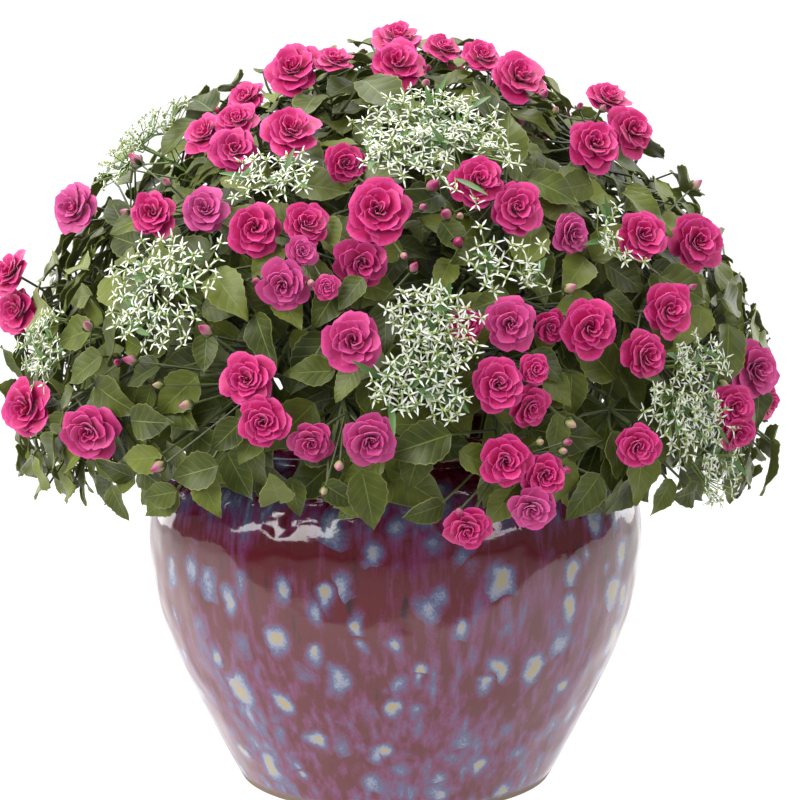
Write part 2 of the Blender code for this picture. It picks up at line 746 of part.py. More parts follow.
def around(radius, turn, height):
    """A point at a radius and a turn round +Z, at a height."""
    return Vector((radius * math.cos(turn), radius * math.sin(turn), height))


def flower_object(name, middle, facing, width, collection):
    """A double flower: an outer frill of petals, with a cup of petals standing in it."""
    half = width / 2

    def place(ring_number, side):
        if ring_number in (0, 4):
            return Vector((0.0, 0.0, (FLOWER_BACK if ring_number else FLOWER_MIDDLE) * half))
        if ring_number == 3:
            turn = math.tau * side / FLOWER_SIDES
            lobe = FRILL_LOBE if side % 2 else -FRILL_LOBE
            lobe += FRILL_SWAY * math.sin(2 * turn + middle[0] * 90)
            return around((FRILL[0] + lobe) * half, turn, (FRILL[1] + lobe / 2) * half)
        radius, height = (CUP_RIM, CUP_FOOT)[ring_number - 1]
        turn = math.tau * (side // 2 + 0.25) / (FLOWER_SIDES / 2)
        return around(radius * half, turn, height * half)

    matrix = facing_matrix(middle, facing, middle[2] * 50)
    return folded_sphere(name, FLOWER_SIDES, 4, place, matrix, collection)


def cone(name, start, direction, length, radii, collection, sides=3):
    """A rod with flat sides from a point along a direction, as a mesh."""
    bm = bmesh.new()
    bmesh.ops.create_cone(
        bm, cap_ends=True, segments=sides, radius1=radii[0], radius2=radii[1], depth=length
    )
    middle = np.asarray(start) + np.asarray(direction) * length / 2
    bmesh.ops.transform(bm, matrix=facing_matrix(middle, direction), verts=bm.verts)
    return mesh_object(name, bm, collection)


def bud_object(name, middle, facing, collection):
    """A bud: a pointed egg."""
    bm = bmesh.new()
    bmesh.ops.create_uvsphere(bm, u_segments=BUD_SIDES, v_segments=2, radius=1.0)
    size = Matrix.Diagonal((BUD_WIDTH / 2, BUD_WIDTH / 2, BUD_LENGTH / 2, 1.0))
    bmesh.ops.transform(bm, matrix=facing_matrix(middle, facing) @ size, verts=bm.verts)
    return mesh_object(name, bm, collection)


def leaf_object(name, leaf, collection):
    """A leaf: a stalk and a blade folded along its rib, with both faces split alike."""
    bm = bmesh.new()
    bmesh.ops.create_grid(bm, x_segments=2, y_segments=len(LEAF_ROWS), size=1.0)
    for vertex in bm.verts:
        across, row = round(vertex.co.x), round((vertex.co.y + 1.0) / 2.0 * len(LEAF_ROWS))
        if row < 2:
            start = leaf.base if row else sunk_root(leaf)
            vertex.co = start + leaf.side * (across or 1) * PETIOLE_WIDTH / 2
        else:
            vertex.co = blade_point(leaf, LEAF_ROWS[row - 1], across)
    bmesh.ops.remove_doubles(bm, verts=bm.verts, dist=1e-5)
    bmesh.ops.triangulate(bm, faces=bm.faces)
    bmesh.ops.recalc_face_normals(bm, faces=bm.faces)
    bmesh.ops.solidify(bm, geom=bm.faces[:], thickness=BLADE_THICKNESS)
    bmesh.ops.recalc_face_normals(bm, faces=bm.faces)
    return mesh_object(name, bm, collection)


def sunk_root(leaf):
    """The foot of a leaf's stalk, well inside the branch."""
    return leaf.root + unit(leaf.root - leaf.base) * BRANCH_RADIUS * 0.3


def combine(target, pieces, operation):
    """Joins the pieces in a collection to the target, or cuts them out of it, and removes them."""
    modifier = target.modifiers.new("combine", "BOOLEAN")
    modifier.operation = operation
    modifier.operand_type = "COLLECTION"
    modifier.collection = pieces
    modifier.solver = "MANIFOLD" if operation == "UNION" else "EXACT"
    mesh = as_mesh(target)
    target.modifiers.clear()
    target.data = mesh
    for piece in list(pieces.objects):
        bpy.data.objects.remove(piece)
    bpy.data.collections.remove(pieces)
    return target


def finish(target, look, parent):
    """Gives a node its material and its place in the tree of objects."""
    target.data.materials.clear()
    target.data.materials.append(look)
    target.parent = parent
    return target


def piece_collection(name):
    """A collection for pieces that are about to be joined."""
    made = bpy.data.collections.new(name)
    bpy.context.scene.collection.children.link(made)
    return made


def turned(name, profile, collection):
    """A closed turned shape. The profile is at +X and runs down its outer side."""
    mesh = bpy.data.meshes.new(name)
    mesh.from_pydata(
        [(radius, 0.0, height) for radius, height in profile],
        [(index, index + 1) for index in range(len(profile) - 1)],
        [],
    )
    made = new_object(name, mesh, collection)
    screw = made.modifiers.new("turn", "SCREW")
    screw.steps = screw.render_steps = POT_SIDES
    screw.use_merge_vertices = True
    screw.merge_threshold = 0.0001
    screw.use_smooth_shade = True
    return made


def make_pot(collection, cutters):
    """The glazed pot, with three drain holes round the middle of its base."""
    profile = OUTER_WALL + ((0.0, 0.0), (0.0, BASE_THICKNESS)) + INNER_WALL
    pot = turned("pot", profile + (OUTER_WALL[0],), collection)
    for index in range(DRAINS):
        turn = math.tau * index / DRAINS + math.pi / 2
        start = (DRAIN_RING * math.cos(turn), DRAIN_RING * math.sin(turn), -BASE_THICKNESS)
        drain = cone(
            f"drain_{index}", start, (0, 0, 1), BASE_THICKNESS * 3, (DRAIN_RADIUS,) * 2, cutters, DRAIN_SIDES
        )
        drain.hide_render = True
        drain.display_type = "WIRE"
        modifier = pot.modifiers.new(drain.name, "BOOLEAN")
        modifier.operation = "DIFFERENCE"
        modifier.object = drain
    return pot


def make_soil(plan, collection):
    """The soil, which fills the pot, with a plain hole for each stem and stalk."""
    floor = BASE_THICKNESS + GAP
    radii, heights = zip(*INNER_WALL)
    top = float(np.interp(SOIL_TOP, heights, radii)) - GAP
    wall = [(radius - GAP, height) for radius, height in INNER_WALL[1:] if height < SOIL_TOP]
    profile = [(0.0, SOIL_TOP), (top, SOIL_TOP), *wall[::-1], (INNER_WALL[0][0] - GAP, floor), (0.0, floor)]
    soil = turned("soil", profile, collection)
    soil.data = as_mesh(soil)
    soil.modifiers.clear()
    holes = piece_collection("holes")
    roots = [(direction, STEM_RADIUS) for direction in plan.stems]
    roots += [(direction, STALK_RADIUS) for direction in plan.stalks]
    for index, (direction, radius) in enumerate(roots):
        start = fan(direction, 0.0) - (0.0, 0.0, STEM_DEPTH + GAP)
        corner = (radius + GAP) * math.sqrt(2.0)
        cone(f"hole_{index}", start, (0, 0, 1), STEM_DEPTH * 2, (corner,) * 2, holes, HOLE_SIDES)
    return combine(soil, holes, "DIFFERENCE")


def buried(way):
    """A stem's way with its foot added, straight down in the soil."""
    foot = np.array((way[0][0], way[0][1], SOIL_TOP - STEM_DEPTH))
    return np.vstack((foot, way))


def make_head(plan, index, collection):
    """One head: a short neck, a stalk for each flower and bud, and the flowers and buds, joined."""
    flowers, buds = plan.heads[index], plan.buds[index]
    foot, top = plan.neck(index)
    way = (foot, top, stalk_end(flowers[0], top))
    neck = tube(f"flower_head_{index + 1:02d}", way, NECK_RADIUS, collection, PEDICEL_RADIUS)
    pieces = piece_collection("pieces")
    for number, flower in enumerate(flowers):
        flower_object(f"flower_{number}", *flower, pieces)
        if number:
            start = plan.parting(index, number)
            rod(f"stalk_{number}", start, stalk_end(flower, start), PEDICEL_RADIUS, pieces)
    for number, bud in enumerate(buds):
        start = plan.parting(index, len(flowers) + number)
        rod(f"bud_stalk_{number}", start, bud[0], PEDICEL_RADIUS, pieces)
        bud_object(f"bud_{number}", *bud, pieces)
    return combine(neck, pieces, "UNION")


def rod(name, start, end, radius, collection):
    """A three-sided rod from one point to another."""
    span = np.asarray(end) - start
    return cone(name, start, unit(span), np.linalg.norm(span), (radius,) * 2, collection)


def make_spray(plan, index, collection):
    """One spray of spurge: a stalk that forks into twigs, each with a star of bracts."""
    name = f"spurge_spray_{index + 1:02d}"
    way = plan.stalk_way(plan.stalks[index])
    stalk = tube(name, buried(way), STALK_RADIUS, collection, TWIG_RADIUS * 1.3)
    pieces = piece_collection("pieces")
    for number, (foot, end) in enumerate(plan.twigs[index]):
        twig_object(f"twig_{number}", foot, end, pieces)
    return combine(stalk, pieces, "UNION")


def twig_object(name, foot, end, collection):
    """A twig with a star of bracts on its end. It has half as many sides as the star has points."""
    length = np.linalg.norm(end - foot)

    def place(ring_number, side):
        if ring_number in (0, 4):
            return Vector((0.0, 0.0, -length - TWIG_RADIUS if ring_number else STAR_DEPTH))
        if ring_number == 1 and side % 2:
            return around(STAR_NOTCH, math.tau * side / (BRACTS * 2), 0.0)
        if ring_number == 1:
            turn = math.tau * side / (BRACTS * 2)
            reach = BRACT_LENGTH * (0.88 + 0.12 * math.cos(turn * 2 + end[0] * 70))
            return around(reach, turn, BRACT_LENGTH * BRACT_RISE)
        turn = math.tau * (side // 2 + 0.25) / BRACTS
        return around(TWIG_RADIUS, turn, -STAR_DEPTH if ring_number == 2 else -length)

    matrix = facing_matrix(end, unit(end - foot), end[2] * 90)
    return folded_sphere(name, BRACTS * 2, 4, place, matrix, collection)


def make_stem(plan, index, collection):
    """One leafy stem: it forks into a branch for each head, and its leaves stand on the branches."""
    name = f"leafy_stem_{index + 1:02d}"
    stem = tube(name, buried(plan.stem_way(index)), STEM_RADIUS, collection, BRANCH_RADIUS * 1.3)
    pieces = piece_collection("pieces")
    for head, parent in enumerate(plan.parents):
        if parent == index:
            way = plan.branch_way(head)
            way[0] -= unit(way[1] - way[0]) * FORK_OVERLAP
            tube(f"branch_{head}", way, BRANCH_RADIUS, pieces)
    for number, leaf in enumerate(plan.leaves):
        if leaf.stem == index:
            leaf_object(f"leaf_{number}", leaf, pieces)
    return combine(stem, pieces, "UNION")


def main():
    for leftover in list(bpy.data.objects):
        bpy.data.objects.remove(leftover)
    collection = piece_collection("busy_lizzie")
    cutters = piece_collection("cutters")
    tree = new_object("busy_lizzie", None, collection)
    green, magenta = material("leaf", GREEN), material("petal", MAGENTA)
    white, glaze, peat = material("bract", WHITE), material("glaze", OXBLOOD), material("soil", PEAT)
    plan = Plan()
    finish(make_pot(collection, cutters), glaze, tree)
    finish(make_soil(plan, collection), peat, tree)
    for index in range(len(plan.heads)):
        finish(make_head(plan, index, collection), magenta, tree)
    for index in range(len(plan.sprays)):
        finish(make_spray(plan, index, collection), white, tree)
    for index in range(STEMS):
        finish(make_stem(plan, index, collection), green, tree)


main()
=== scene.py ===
"""Dresses a potted busy lizzie: double blooms, leafy stems and white spurge in a glazed pot.

Lengths are in metres and +Z is up. The origin is the middle of the pot's flat base, and the near side
is the side towards -Y. The plant grows by the same rules and the same draws as its solids, so each fine
piece lies where the solid that it stands for lies.
"""

from __future__ import annotations

import logging
import math
from collections.abc import Iterable, Iterator, Sequence
from dataclasses import dataclass, field
from enum import Enum
from typing import Any, NamedTuple

import bmesh
import bpy
import numpy as np
from mathutils import Matrix, Vector, noise
from mathutils.bvhtree import BVHTree

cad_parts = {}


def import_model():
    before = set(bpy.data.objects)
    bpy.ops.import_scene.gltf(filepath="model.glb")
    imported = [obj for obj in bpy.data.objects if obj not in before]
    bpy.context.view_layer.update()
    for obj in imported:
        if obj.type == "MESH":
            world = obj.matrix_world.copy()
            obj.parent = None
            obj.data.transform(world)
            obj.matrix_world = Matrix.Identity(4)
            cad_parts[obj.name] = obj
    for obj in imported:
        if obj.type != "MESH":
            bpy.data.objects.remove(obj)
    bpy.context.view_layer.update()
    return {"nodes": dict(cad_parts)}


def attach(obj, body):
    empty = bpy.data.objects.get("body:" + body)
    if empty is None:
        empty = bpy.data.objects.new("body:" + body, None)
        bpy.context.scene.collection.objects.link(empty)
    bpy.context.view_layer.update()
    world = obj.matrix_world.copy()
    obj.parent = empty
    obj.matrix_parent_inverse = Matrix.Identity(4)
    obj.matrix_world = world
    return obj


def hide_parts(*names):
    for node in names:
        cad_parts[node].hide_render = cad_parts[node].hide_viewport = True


LOG = logging.getLogger("busy_lizzie")
BODY = "root"
UV_LAYER = "Blade"
TINT = "Tint"
UNDER = "Under"
GOLDEN_TURN = math.pi * (3.0 - math.sqrt(5.0))
ASKEW = (0.31, 0.17, 0.93)
TOP = np.array((0.0, 0.0, 1.0))
WHITE = (1.0, 1.0, 1.0, 1.0)
WELD = 1e-6
SHARP = math.radians(55)
HALVES = (0.5, 0.5, 0.5)
EASED = {"interpolation_type": "SMOOTHSTEP"}
UNUSED = (None,) * 5  # The sockets of a Mix node between its factor and its colours.
Draw = np.random.Generator
Points = np.ndarray
Tree = bpy.types.NodeTree
Pair = tuple[float, float]
Profile = tuple[Pair, ...]
Stops = tuple[tuple[float, str], ...]


class Slot(Enum):
    """The record's material slots."""

    GLAZE = "glaze"
    SOIL = "soil"
    LEAVES = "leaves"
    PETALS = "petals"
    BRACTS = "bracts"


class SeenBloom(NamedTuple):
    """A flower as it is seen: its middle in pixels, its width and depth in mm, and its facing."""

    px: float
    py: float
    width: float
    across: float = 0.0
    up: float = 0.0
    sunk: float = 0.0


class Bloom(NamedTuple):
    """A flower in its place."""

    middle: Points
    facing: Points
    width: float


class Leaf(NamedTuple):
    """A leaf in its place, with the stem that it grows from."""

    stem: int
    root: Points
    base: Points
    axis: Points
    side: Points
    normal: Points
    length: float
    curl: float


class Spray(NamedTuple):
    """A spray of spurge: its middle, its half width in mm and how many stars of bracts it has."""

    middle: Points
    spread: float
    stars: int


class Star(NamedTuple):
    """A star of spurge bracts, with the foot of its twig."""

    foot: Points
    end: Points


def unit(vector: Any) -> Points:
    """Gives a vector at a length of one."""
    vector = np.asarray(vector, float)
    return vector / np.linalg.norm(vector)


def across_from(direction: Points) -> tuple[Points, Points]:
    """Gives two directions at right angles to one direction and to each other."""
    side = unit(np.cross(direction, ASKEW))
    return side, np.cross(side, direction)


def circle(direction: Points, turn: float) -> Points:
    """Gives the direction at a turn round another one."""
    side, over = across_from(direction)
    return side * math.cos(turn) + over * math.sin(turn)


def circles(direction: Points, turns: Points) -> Points:
    """Gives the directions at many turns round another one, a row for each."""
    side, over = across_from(direction)
    return side * np.cos(turns)[:, None] + over * np.sin(turns)[:, None]


def placed(name: str, data: Any) -> bpy.types.Object:
    """Puts an object in the scene."""
    thing = bpy.data.objects.new(name, data)
    bpy.context.scene.collection.objects.link(thing)
    return thing


def smooth_line(points: Sequence[Sequence[float]], steps: int) -> Points:
    """Draws a smooth line through points.

    Args:
        points: The points that it passes through.
        steps: The number of short runs from each point to the next.

    Returns:
        The points of the smooth line.
    """
    knots = np.asarray(points, float)
    knots = np.vstack((2 * knots[0] - knots[1], knots, 2 * knots[-1] - knots[-2]))
    line = []
    for before, start, end, after in zip(knots, knots[1:], knots[2:], knots[3:]):
        for share in np.linspace(0.0, 1.0, steps, endpoint=False):
            bend = (2 * before - 5 * start + 4 * end - after) * share**2
            twist = (3 * start - before - 3 * end + after) * share**3
            line.append(start + 0.5 * ((end - before) * share + bend + twist))
    return np.array([*line, knots[-2]])


@dataclass(frozen=True)
class View:
    """Where the near side is seen from, and the size of the view in pixels."""

    distance: float = 1.2890
    height: float = 0.3816
    aside: float = 0.0038
    tilt: float = math.radians(3.0)
    focal_pixels: float = 1516.0
    pixels: int = 800
    sensor_mm: float = 36.0

    def axes(self) -> tuple[Points, Points, Points]:
        """Gives the view's own axes."""
        right = np.array((1.0, 0.0, 0.0))
        up = np.array((0.0, math.sin(self.tilt), math.cos(self.tilt)))
        away = np.array((0.0, math.cos(self.tilt), -math.sin(self.tilt)))
        return right, up, away

    def camera(self) -> bpy.types.Object:
        """Makes the camera."""
        data = bpy.data.cameras.new("camera")
        data.sensor_width = self.sensor_mm
        data.lens = self.focal_pixels / self.pixels * self.sensor_mm
        camera = placed("camera", data)
        camera.location = (self.aside, -self.distance, self.height)
        camera.rotation_euler = (math.pi / 2 - self.tilt, 0.0, 0.0)
        return camera


@dataclass(frozen=True)
class Mound:
    """The mound that the leaves and flowers make, and how stems rise from the soil and arch to its skin."""

    middle_height: float = 0.3000
    radius: float = 0.3180
    lowest: float = math.radians(103)
    soil_top: float = 0.2640
    root_spread: float = 0.1200
    rise: float = 0.1200
    knee: float = 0.72
    arch: float = 0.0500

    def seen_at(self, view: View, px: float, py: float, radius: float) -> Points:
        """Finds the point of the mound that is seen at a pixel; past its edge, the nearest to it."""
        right, up, away = view.axes()
        eye = np.array((view.aside, -view.distance, view.height))
        middle_pixel = view.pixels / 2
        line = unit(away * view.focal_pixels + right * (px - middle_pixel) + up * (middle_pixel - py))
        middle = np.array((0.0, 0.0, self.middle_height)) - eye
        along = middle @ line
        short = radius**2 - (middle @ middle - along**2)
        return eye + line * (along - math.sqrt(max(short, 0.0)))

    def outwards(self, point: Any) -> Points:
        """Gives the direction of a point from the mound's middle."""
        return unit(np.asarray(point) - (0.0, 0.0, self.middle_height))

    def from_middle(self, way: Points) -> Points:
        """Gives the point at the end of a way from the mound's middle."""
        return (0.0, 0.0, self.middle_height) + way

    def bearing(self, around: float, above: float) -> Points:
        """Gives a direction from its angles."""
        around, above = math.radians(around), math.radians(above)
        flat = math.cos(above)
        return np.array((flat * math.cos(around), flat * math.sin(around), math.sin(above)))

    def fan(self, direction: Points, reach: float) -> Points:
        """Gives a point on the way that a stem takes in one direction.

        Stems rise first, so that they clear the pot's lip, and ways in two directions never cross.

        Args:
            direction: The direction from the mound's middle.
            reach: 0 at the soil and 1 at the skin.

        Returns:
            The point.
        """
        polar = math.acos(max(-1.0, min(1.0, direction[2])))
        out, high = math.sin(polar) * self.radius, math.cos(polar) * self.radius
        spread = self.root_spread * polar / self.lowest
        knots = (
            (spread, self.soil_top),
            (spread, self.soil_top + self.rise),
            (self.knee * out, self.middle_height + self.knee * high + self.arch * math.sin(polar)),
            (out, self.middle_height + high),
        )
        left = 1.0 - reach
        shares = (left**3, 3 * left**2 * reach, 3 * left * reach**2, reach**3)
        flat, height = (sum(s * k[axis] for s, k in zip(shares, knots)) for axis in (0, 1))
        round_pot = unit((direction[0], direction[1], 0.0)) if math.sin(polar) > 1e-6 else np.zeros(3)
        return round_pot * flat + np.array((0.0, 0.0, height))

    def climb(self, direction: Points, end: float, steps: int) -> Points:
        """Gives points on the way that a stem takes, from the soil to its end."""
        return np.array([self.fan(direction, reach) for reach in np.linspace(0.0, end, steps)])

    def spiral(self, count: int, lowest: float) -> Iterator[Points]:
        """Spreads directions evenly from the top of the mound down, each a golden turn on."""
        for index in range(count):
            height = 1.0 - (index + 0.5) / count * (1.0 - math.cos(lowest))
            flat = math.sqrt(1.0 - height * height)
            turn = index * GOLDEN_TURN
            yield np.array((flat * math.cos(turn), flat * math.sin(turn), height))


class Room:
    """The room that is taken. Each thing in it is a closed surface, which others may not meet."""

    MOST = 4096
    SIDES = 10

    def __init__(self) -> None:
        """Starts with nothing taken."""
        self.things: list[tuple[BVHTree, str]] = []
        self.middles = np.zeros((self.MOST, 3))
        self.spans = np.zeros(self.MOST)

    @staticmethod
    def ring(middle: Any, facing: Points, radius: float, sides: int = 4) -> Points:
        """Gives points in a circle."""
        turns = np.linspace(0.0, math.tau, sides, endpoint=False)
        return np.asarray(middle) + circles(facing, turns) * radius

    @classmethod
    def rod(cls, points: Sequence[Points], radius: float, clearance: float = 0.0012) -> list[Points]:
        """Gives square rings that hold a rod."""
        along = unit(np.asarray(points[-1]) - points[0])
        return [cls.ring(point, along, (radius + clearance) * math.sqrt(2.0)) for point in points]

    @classmethod
    def turned(cls, middle: Points, facing: Points, size: float, profile: Profile) -> list[Points]:
        """Gives rings that hold a turned shape."""
        spots = [(middle + facing * high * size, radius * size) for radius, high in profile]
        return [cls.ring(place, facing, radius, cls.SIDES) for place, radius in spots]

    @staticmethod
    def measure(rings: Any) -> tuple[BVHTree, Points, float]:
        """Closes rings of points into a surface.

        Args:
            rings: The rings, one after another.

        Returns:
            The surface, its middle and its span from there.
        """
        rings = np.asarray(rings)
        points = rings.reshape(-1, 3)
        count, sides = rings.shape[:2]
        faces = []
        for low in range(0, (count - 1) * sides, sides):
            for side in range(sides):
                after = (side + 1) % sides
                faces.append((low + side, low + after, low + sides + after, low + sides + side))
        middle = points.mean(0)
        span = np.linalg.norm(points - middle, axis=1).max()
        return BVHTree.FromPolygons(points.tolist(), faces), middle, span

    def take(self, rings: Any, owner: str) -> None:
        """Takes the room inside rings."""
        surface, middle, span = self.measure(rings)
        index = len(self.things)
        self.things.append((surface, owner))
        self.middles[index] = middle
        self.spans[index] = span

    def is_clear(self, rings: Any, owner: str | None = None) -> bool:
        """Tells whether the room inside rings is free."""
        surface, middle, span = self.measure(rings)
        count = len(self.things)
        near = np.linalg.norm(self.middles[:count] - middle, axis=1) < self.spans[:count] + span
        others = [self.things[index] for index in np.flatnonzero(near)]
        return not any(other.overlap(surface) for other, of in others if owner is None or of != owner)


@dataclass
class PotShape:
    """The pot's wall, as radius and height."""

    lip_top: float = 0.2940
    wall: float = 0.0110
    lip_radius: float = 0.1720
    neck_radius: float = 0.1670
    belly_radius: float = 0.2080
    foot_radius: float = 0.1330

    def outer_wall(self) -> Profile:
        """Gives the corners of the solid pot's outside.

        Returns:
            Pairs of radius and height, from the lip down.
        """
        return (
            (self.lip_radius, self.lip_top),
            (self.lip_radius, 0.2815),
            (self.neck_radius, 0.2720),
            (0.1960, 0.2540),
            (0.2065, 0.2290),
            (self.belly_radius, 0.1930),
            (0.1990, 0.1420),
            (0.1828, 0.0990),
            (0.1613, 0.0550),
            (self.foot_radius, 0.0),
        )

    def clears(self, rings: Any, clearance: float = 0.0012) -> bool:
        """Tells whether rings of points keep clear of the pot."""
        points = np.asarray(rings).reshape(-1, 3)
        radii, heights = zip(*reversed(self.outer_wall()))
        low = points[points[:, 2] < self.lip_top + clearance * 2]
        pot = np.interp(low[:, 2], heights, radii)
        return not (np.hypot(low[:, 0], low[:, 1]) < pot + clearance * 3).any()


@dataclass
class Growth:
    """Where every stem, flower, bud, spray and leaf grows, each clear of the others."""

    view: View = field(default_factory=View)
    mound: Mound = field(default_factory=Mound)
    pot: PotShape = field(default_factory=PotShape)
    seed: int = 7
    gap: float = 0.0003
    clearance: float = 0.0012
    stem_count: int = 12
    stem_radius: float = 0.0042
    branch_radius: float = 0.0024
    lowest_stem: float = math.radians(87)
    fork: float = 0.42
    fork_step: float = 0.035
    branch_end: float = 0.86
    shoot_spots: int = 80
    shoot_spacing: float = math.radians(21)
    leaf_count: int = 140
    whorl_leaves: int = 42
    leaf_tries: int = 10
    lowest_tip: float = 0.2380
    fill_spots: int = 1500
    fill_stray: float = 0.03
    fill_depth: float = 0.0040
    fill_core: float = 0.0010
    fill_core_ends: Pair = (0.0150, -0.0200)
    fill_droop: float = 0.9
    fill_rise: float = 0.3
    fill_tips: int = 8
    root_shares: tuple[float, ...] = (0.2, 0.4, 0.6, 0.8)
    longest_petiole: float = 0.0720
    whorl_top: float = 0.0040
    whorl_step: float = 0.0045
    petiole_width: float = 0.0022
    petiole_held: float = 0.35
    blade_gap: float = 1.5
    petiole_lengths: Pair = (0.018, 0.034)
    petiole_rises: Pair = (0.2, 0.9)
    leaf_lengths: Pair = (0.042, 0.053)
    leaf_proportion: float = 0.66
    leaf_fold: float = 0.34
    leaf_curls: Pair = (0.08, 0.30)
    leaf_droop: float = 0.7
    leaf_tilt: float = 0.25
    leaf_rises: Pair = (-0.1, 0.3)
    whorl_strays: Pair = (-0.3, 0.3)
    blade_thickness: float = 0.0009
    flower_room: Profile = ((0.03, -0.52), (1.06, 0.0), (1.10, 0.34), (0.60, 0.54), (0.03, 0.54))
    turn_out: float = 0.35
    behind: float = 0.02
    bud_length: float = 0.0130
    bud_height: float = 0.0040
    small_bud: float = 0.7
    bud_room: Profile = ((0.03, -0.5), (0.55, 0.0), (0.03, 0.5))
    nearest_heads: int = 4
    neck_length: float = 0.0200
    neck_radius: float = 0.0018
    partings: Pair = (0.38, 0.7)
    pedicel_radius: float = 0.0012
    pedicel_end: Pair = (0.32, -0.12)
    stalk_radius: float = 0.0013
    stalk_end: float = 0.86
    stalk_tries: int = 90
    stalk_stray: float = 0.014
    twig_radius: float = 0.0009
    twig_count: int = 4
    twig_tries: int = 9
    twig_feet: Pair = (0.04, 0.11)
    spray_height: float = 0.0020
    spray_dome: float = 0.12
    bract_length: float = 0.0120
    star_room: Profile = ((0.10, -0.2), (1.0, -0.1), (1.0, 0.4), (0.10, 0.4))
    far_flowers: tuple[int, int] = (3, 2)
    far_widths: Pair = (34.0, 44.0)
    far_ring: float = 0.0300
    far_sway: float = 0.25
    far_turn_out: float = 12.0
    far_spread: float = 44.0
    far_stars: int = 34
    bud_stray: float = 0.028
    small_star: float = 0.0056
    star_spread: float = 1.08
    star_stray: Pair = (0.85, 1.12)
    fork_shares: Pair = (0.45, 0.75)
    bloom_gap: float = 0.0040
    star_rise: Pair = (-0.004, 0.008)
    extra_spots: int = 1900
    extra_depths: tuple[float, ...] = (0.003, 0.010, 0.018, 0.028, 0.040, 0.055)
    extra_lengths: Pair = (0.027, 0.045)
    extra_rises: Pair = (-0.05, 0.3)
    extra_tilt: float = 0.4
    extra_curl: float = 0.26
    extra_clearance: float = 0.0004
    extra_lowest: float = 0.2420
    inner_spots: int = 420
    inner_depths: tuple[float, ...] = (0.075, 0.095, 0.115)
    inner_lengths: Pair = (0.050, 0.062)
    dent: float = 0.030
    dent_size: float = 0.40
    shoulder: float = 0.030
    shoulder_at: float = 48.0
    shoulder_width: float = 18.0

    near_heads: tuple[tuple[tuple[float, ...], ...], ...] = (
        ((398, 38, 42, 0.0, 0.9), (397, 63, 41, 0.0, 0.2), (443, 48, 30, 0.3, 0.8)),
        ((482, 56, 34, 0.2, 0.5), (519, 76, 44, 0.2, 0.3)),
        ((293, 69, 43, -0.1, 0.2), (334, 60, 30, 0.1, 1.0)),
        (
            (246, 98, 30, -0.5, 0.3), (237, 120, 31, 0.0, 0.4), (291, 130, 41, 0.2, 0.5),
            (204, 134, 34, -0.5, 0.5), (235, 150, 36, 0.1, 0.1),
        ),
        ((345, 163, 30, 0.4, -0.2, 10), (378, 211, 47), (362, 262, 37, 0.2, -0.5, 18)),
        ((74, 209, 42, -0.3, 0.0),),
        ((153, 213, 35, 0.0, 0.0), (205, 210, 35, 0.1, 0.1)),
        (
            (255, 228, 37, 0.1, -0.1), (306, 224, 33, 0.5, 0.2, 6), (302, 252, 22, 0.5, 0.1),
            (283, 285, 35, 0.0, -0.4), (327, 287, 18, 0.2, -0.2),
        ),
        ((10, 272, 38, -0.6, 0.3), (17, 311, 40, -0.2, 0.0)),
        ((353, 341, 41, 0.1, 0.0),),
        ((247, 380, 38, -0.1, 0.1), (263, 422, 36, 0.1, -0.2)),
        ((26, 409, 44, -0.3, 0.0), (89, 432, 43, 0.0, -0.4)),
        ((312, 442, 30, 0.1, -0.6, 14), (371, 440, 37, 0.2, -0.4)),
        ((607, 98, 38, 0.2, 0.7), (595, 144, 41), (631, 130, 41, 0.4, 0.1)),
        ((479, 181, 39, 0.1, 0.1), (516, 208, 38, 0.2, 0.0, 4), (571, 233, 33, 0.8, -0.2, 6)),
        ((642, 235, 38, 0.1, 0.1), (697, 241, 43, 0.1, -0.1)),
        (
            (510, 323, 37, 0.0, -0.1), (465, 324, 25, -0.3, 0.0, 10), (550, 327, 25, 0.3, -0.4, 12),
            (590, 328, 40, 0.0, -0.1),
        ),
        ((669, 310, 38, 0.1, -0.1), (645, 355, 36, 0.5, -0.1)),
        (
            (756, 369, 44, 0.2, 0.0), (768, 402, 28, 0.8, -0.3, 8), (734, 407, 33, 0.1, 0.0),
            (738, 432, 31, 0.2, -0.5),
        ),
        ((498, 384, 38), (535, 370, 22, 0.2, 0.0), (530, 407, 29, 0.5, -0.4, 6)),
        ((638, 446, 32, 0.0, -0.2),),
        (
            (506, 461, 36, 0.0, -0.1), (545, 475, 32, 0.1, -0.1), (533, 508, 34, -0.1, -0.6),
            (468, 528, 32, 0.0, -0.6),
        ),
    )
    near_sprays: tuple[tuple[float, float, float, int], ...] = (
        (435, 142, 52, 200), (430, 352, 42, 165), (162, 288, 44, 84), (272, 178, 30, 46), (138, 138, 46, 54),
        (690, 392, 44, 125), (505, 268, 28, 26), (618, 238, 22, 20), (38, 350, 30, 34), (722, 465, 26, 30),
    )
    near_buds: tuple[tuple[int, int], ...] = (
        (135, 159), (88, 326), (130, 360), (265, 347), (158, 467), (339, 466), (426, 83), (544, 94),
        (433, 185), (446, 214), (458, 242), (542, 221), (414, 267), (570, 288), (696, 185), (668, 280),
        (604, 355), (743, 383), (571, 424), (400, 432), (186, 405), (205, 330),
    )
    small_buds: tuple[tuple[int, int], ...] = (
        (167, 182), (125, 212), (117, 362), (256, 281), (311, 283), (324, 491), (158, 385), (428, 68),
        (556, 110), (580, 106), (603, 108), (423, 207), (460, 216), (404, 256), (692, 287), (540, 442),
        (563, 451), (568, 442), (567, 470), (723, 383), (459, 512),
    )
    far_heads: tuple[tuple[int, int], ...] = (
        (62, 20), (88, 50), (40, 58), (112, 12), (118, 40), (90, -2),
        (78, 76), (142, 24), (38, 6), (148, 52), (62, -8),
    )
    far_buds: int = 1
    far_sprays: tuple[tuple[int, int], ...] = ((70, 36), (128, 62), (104, -6))

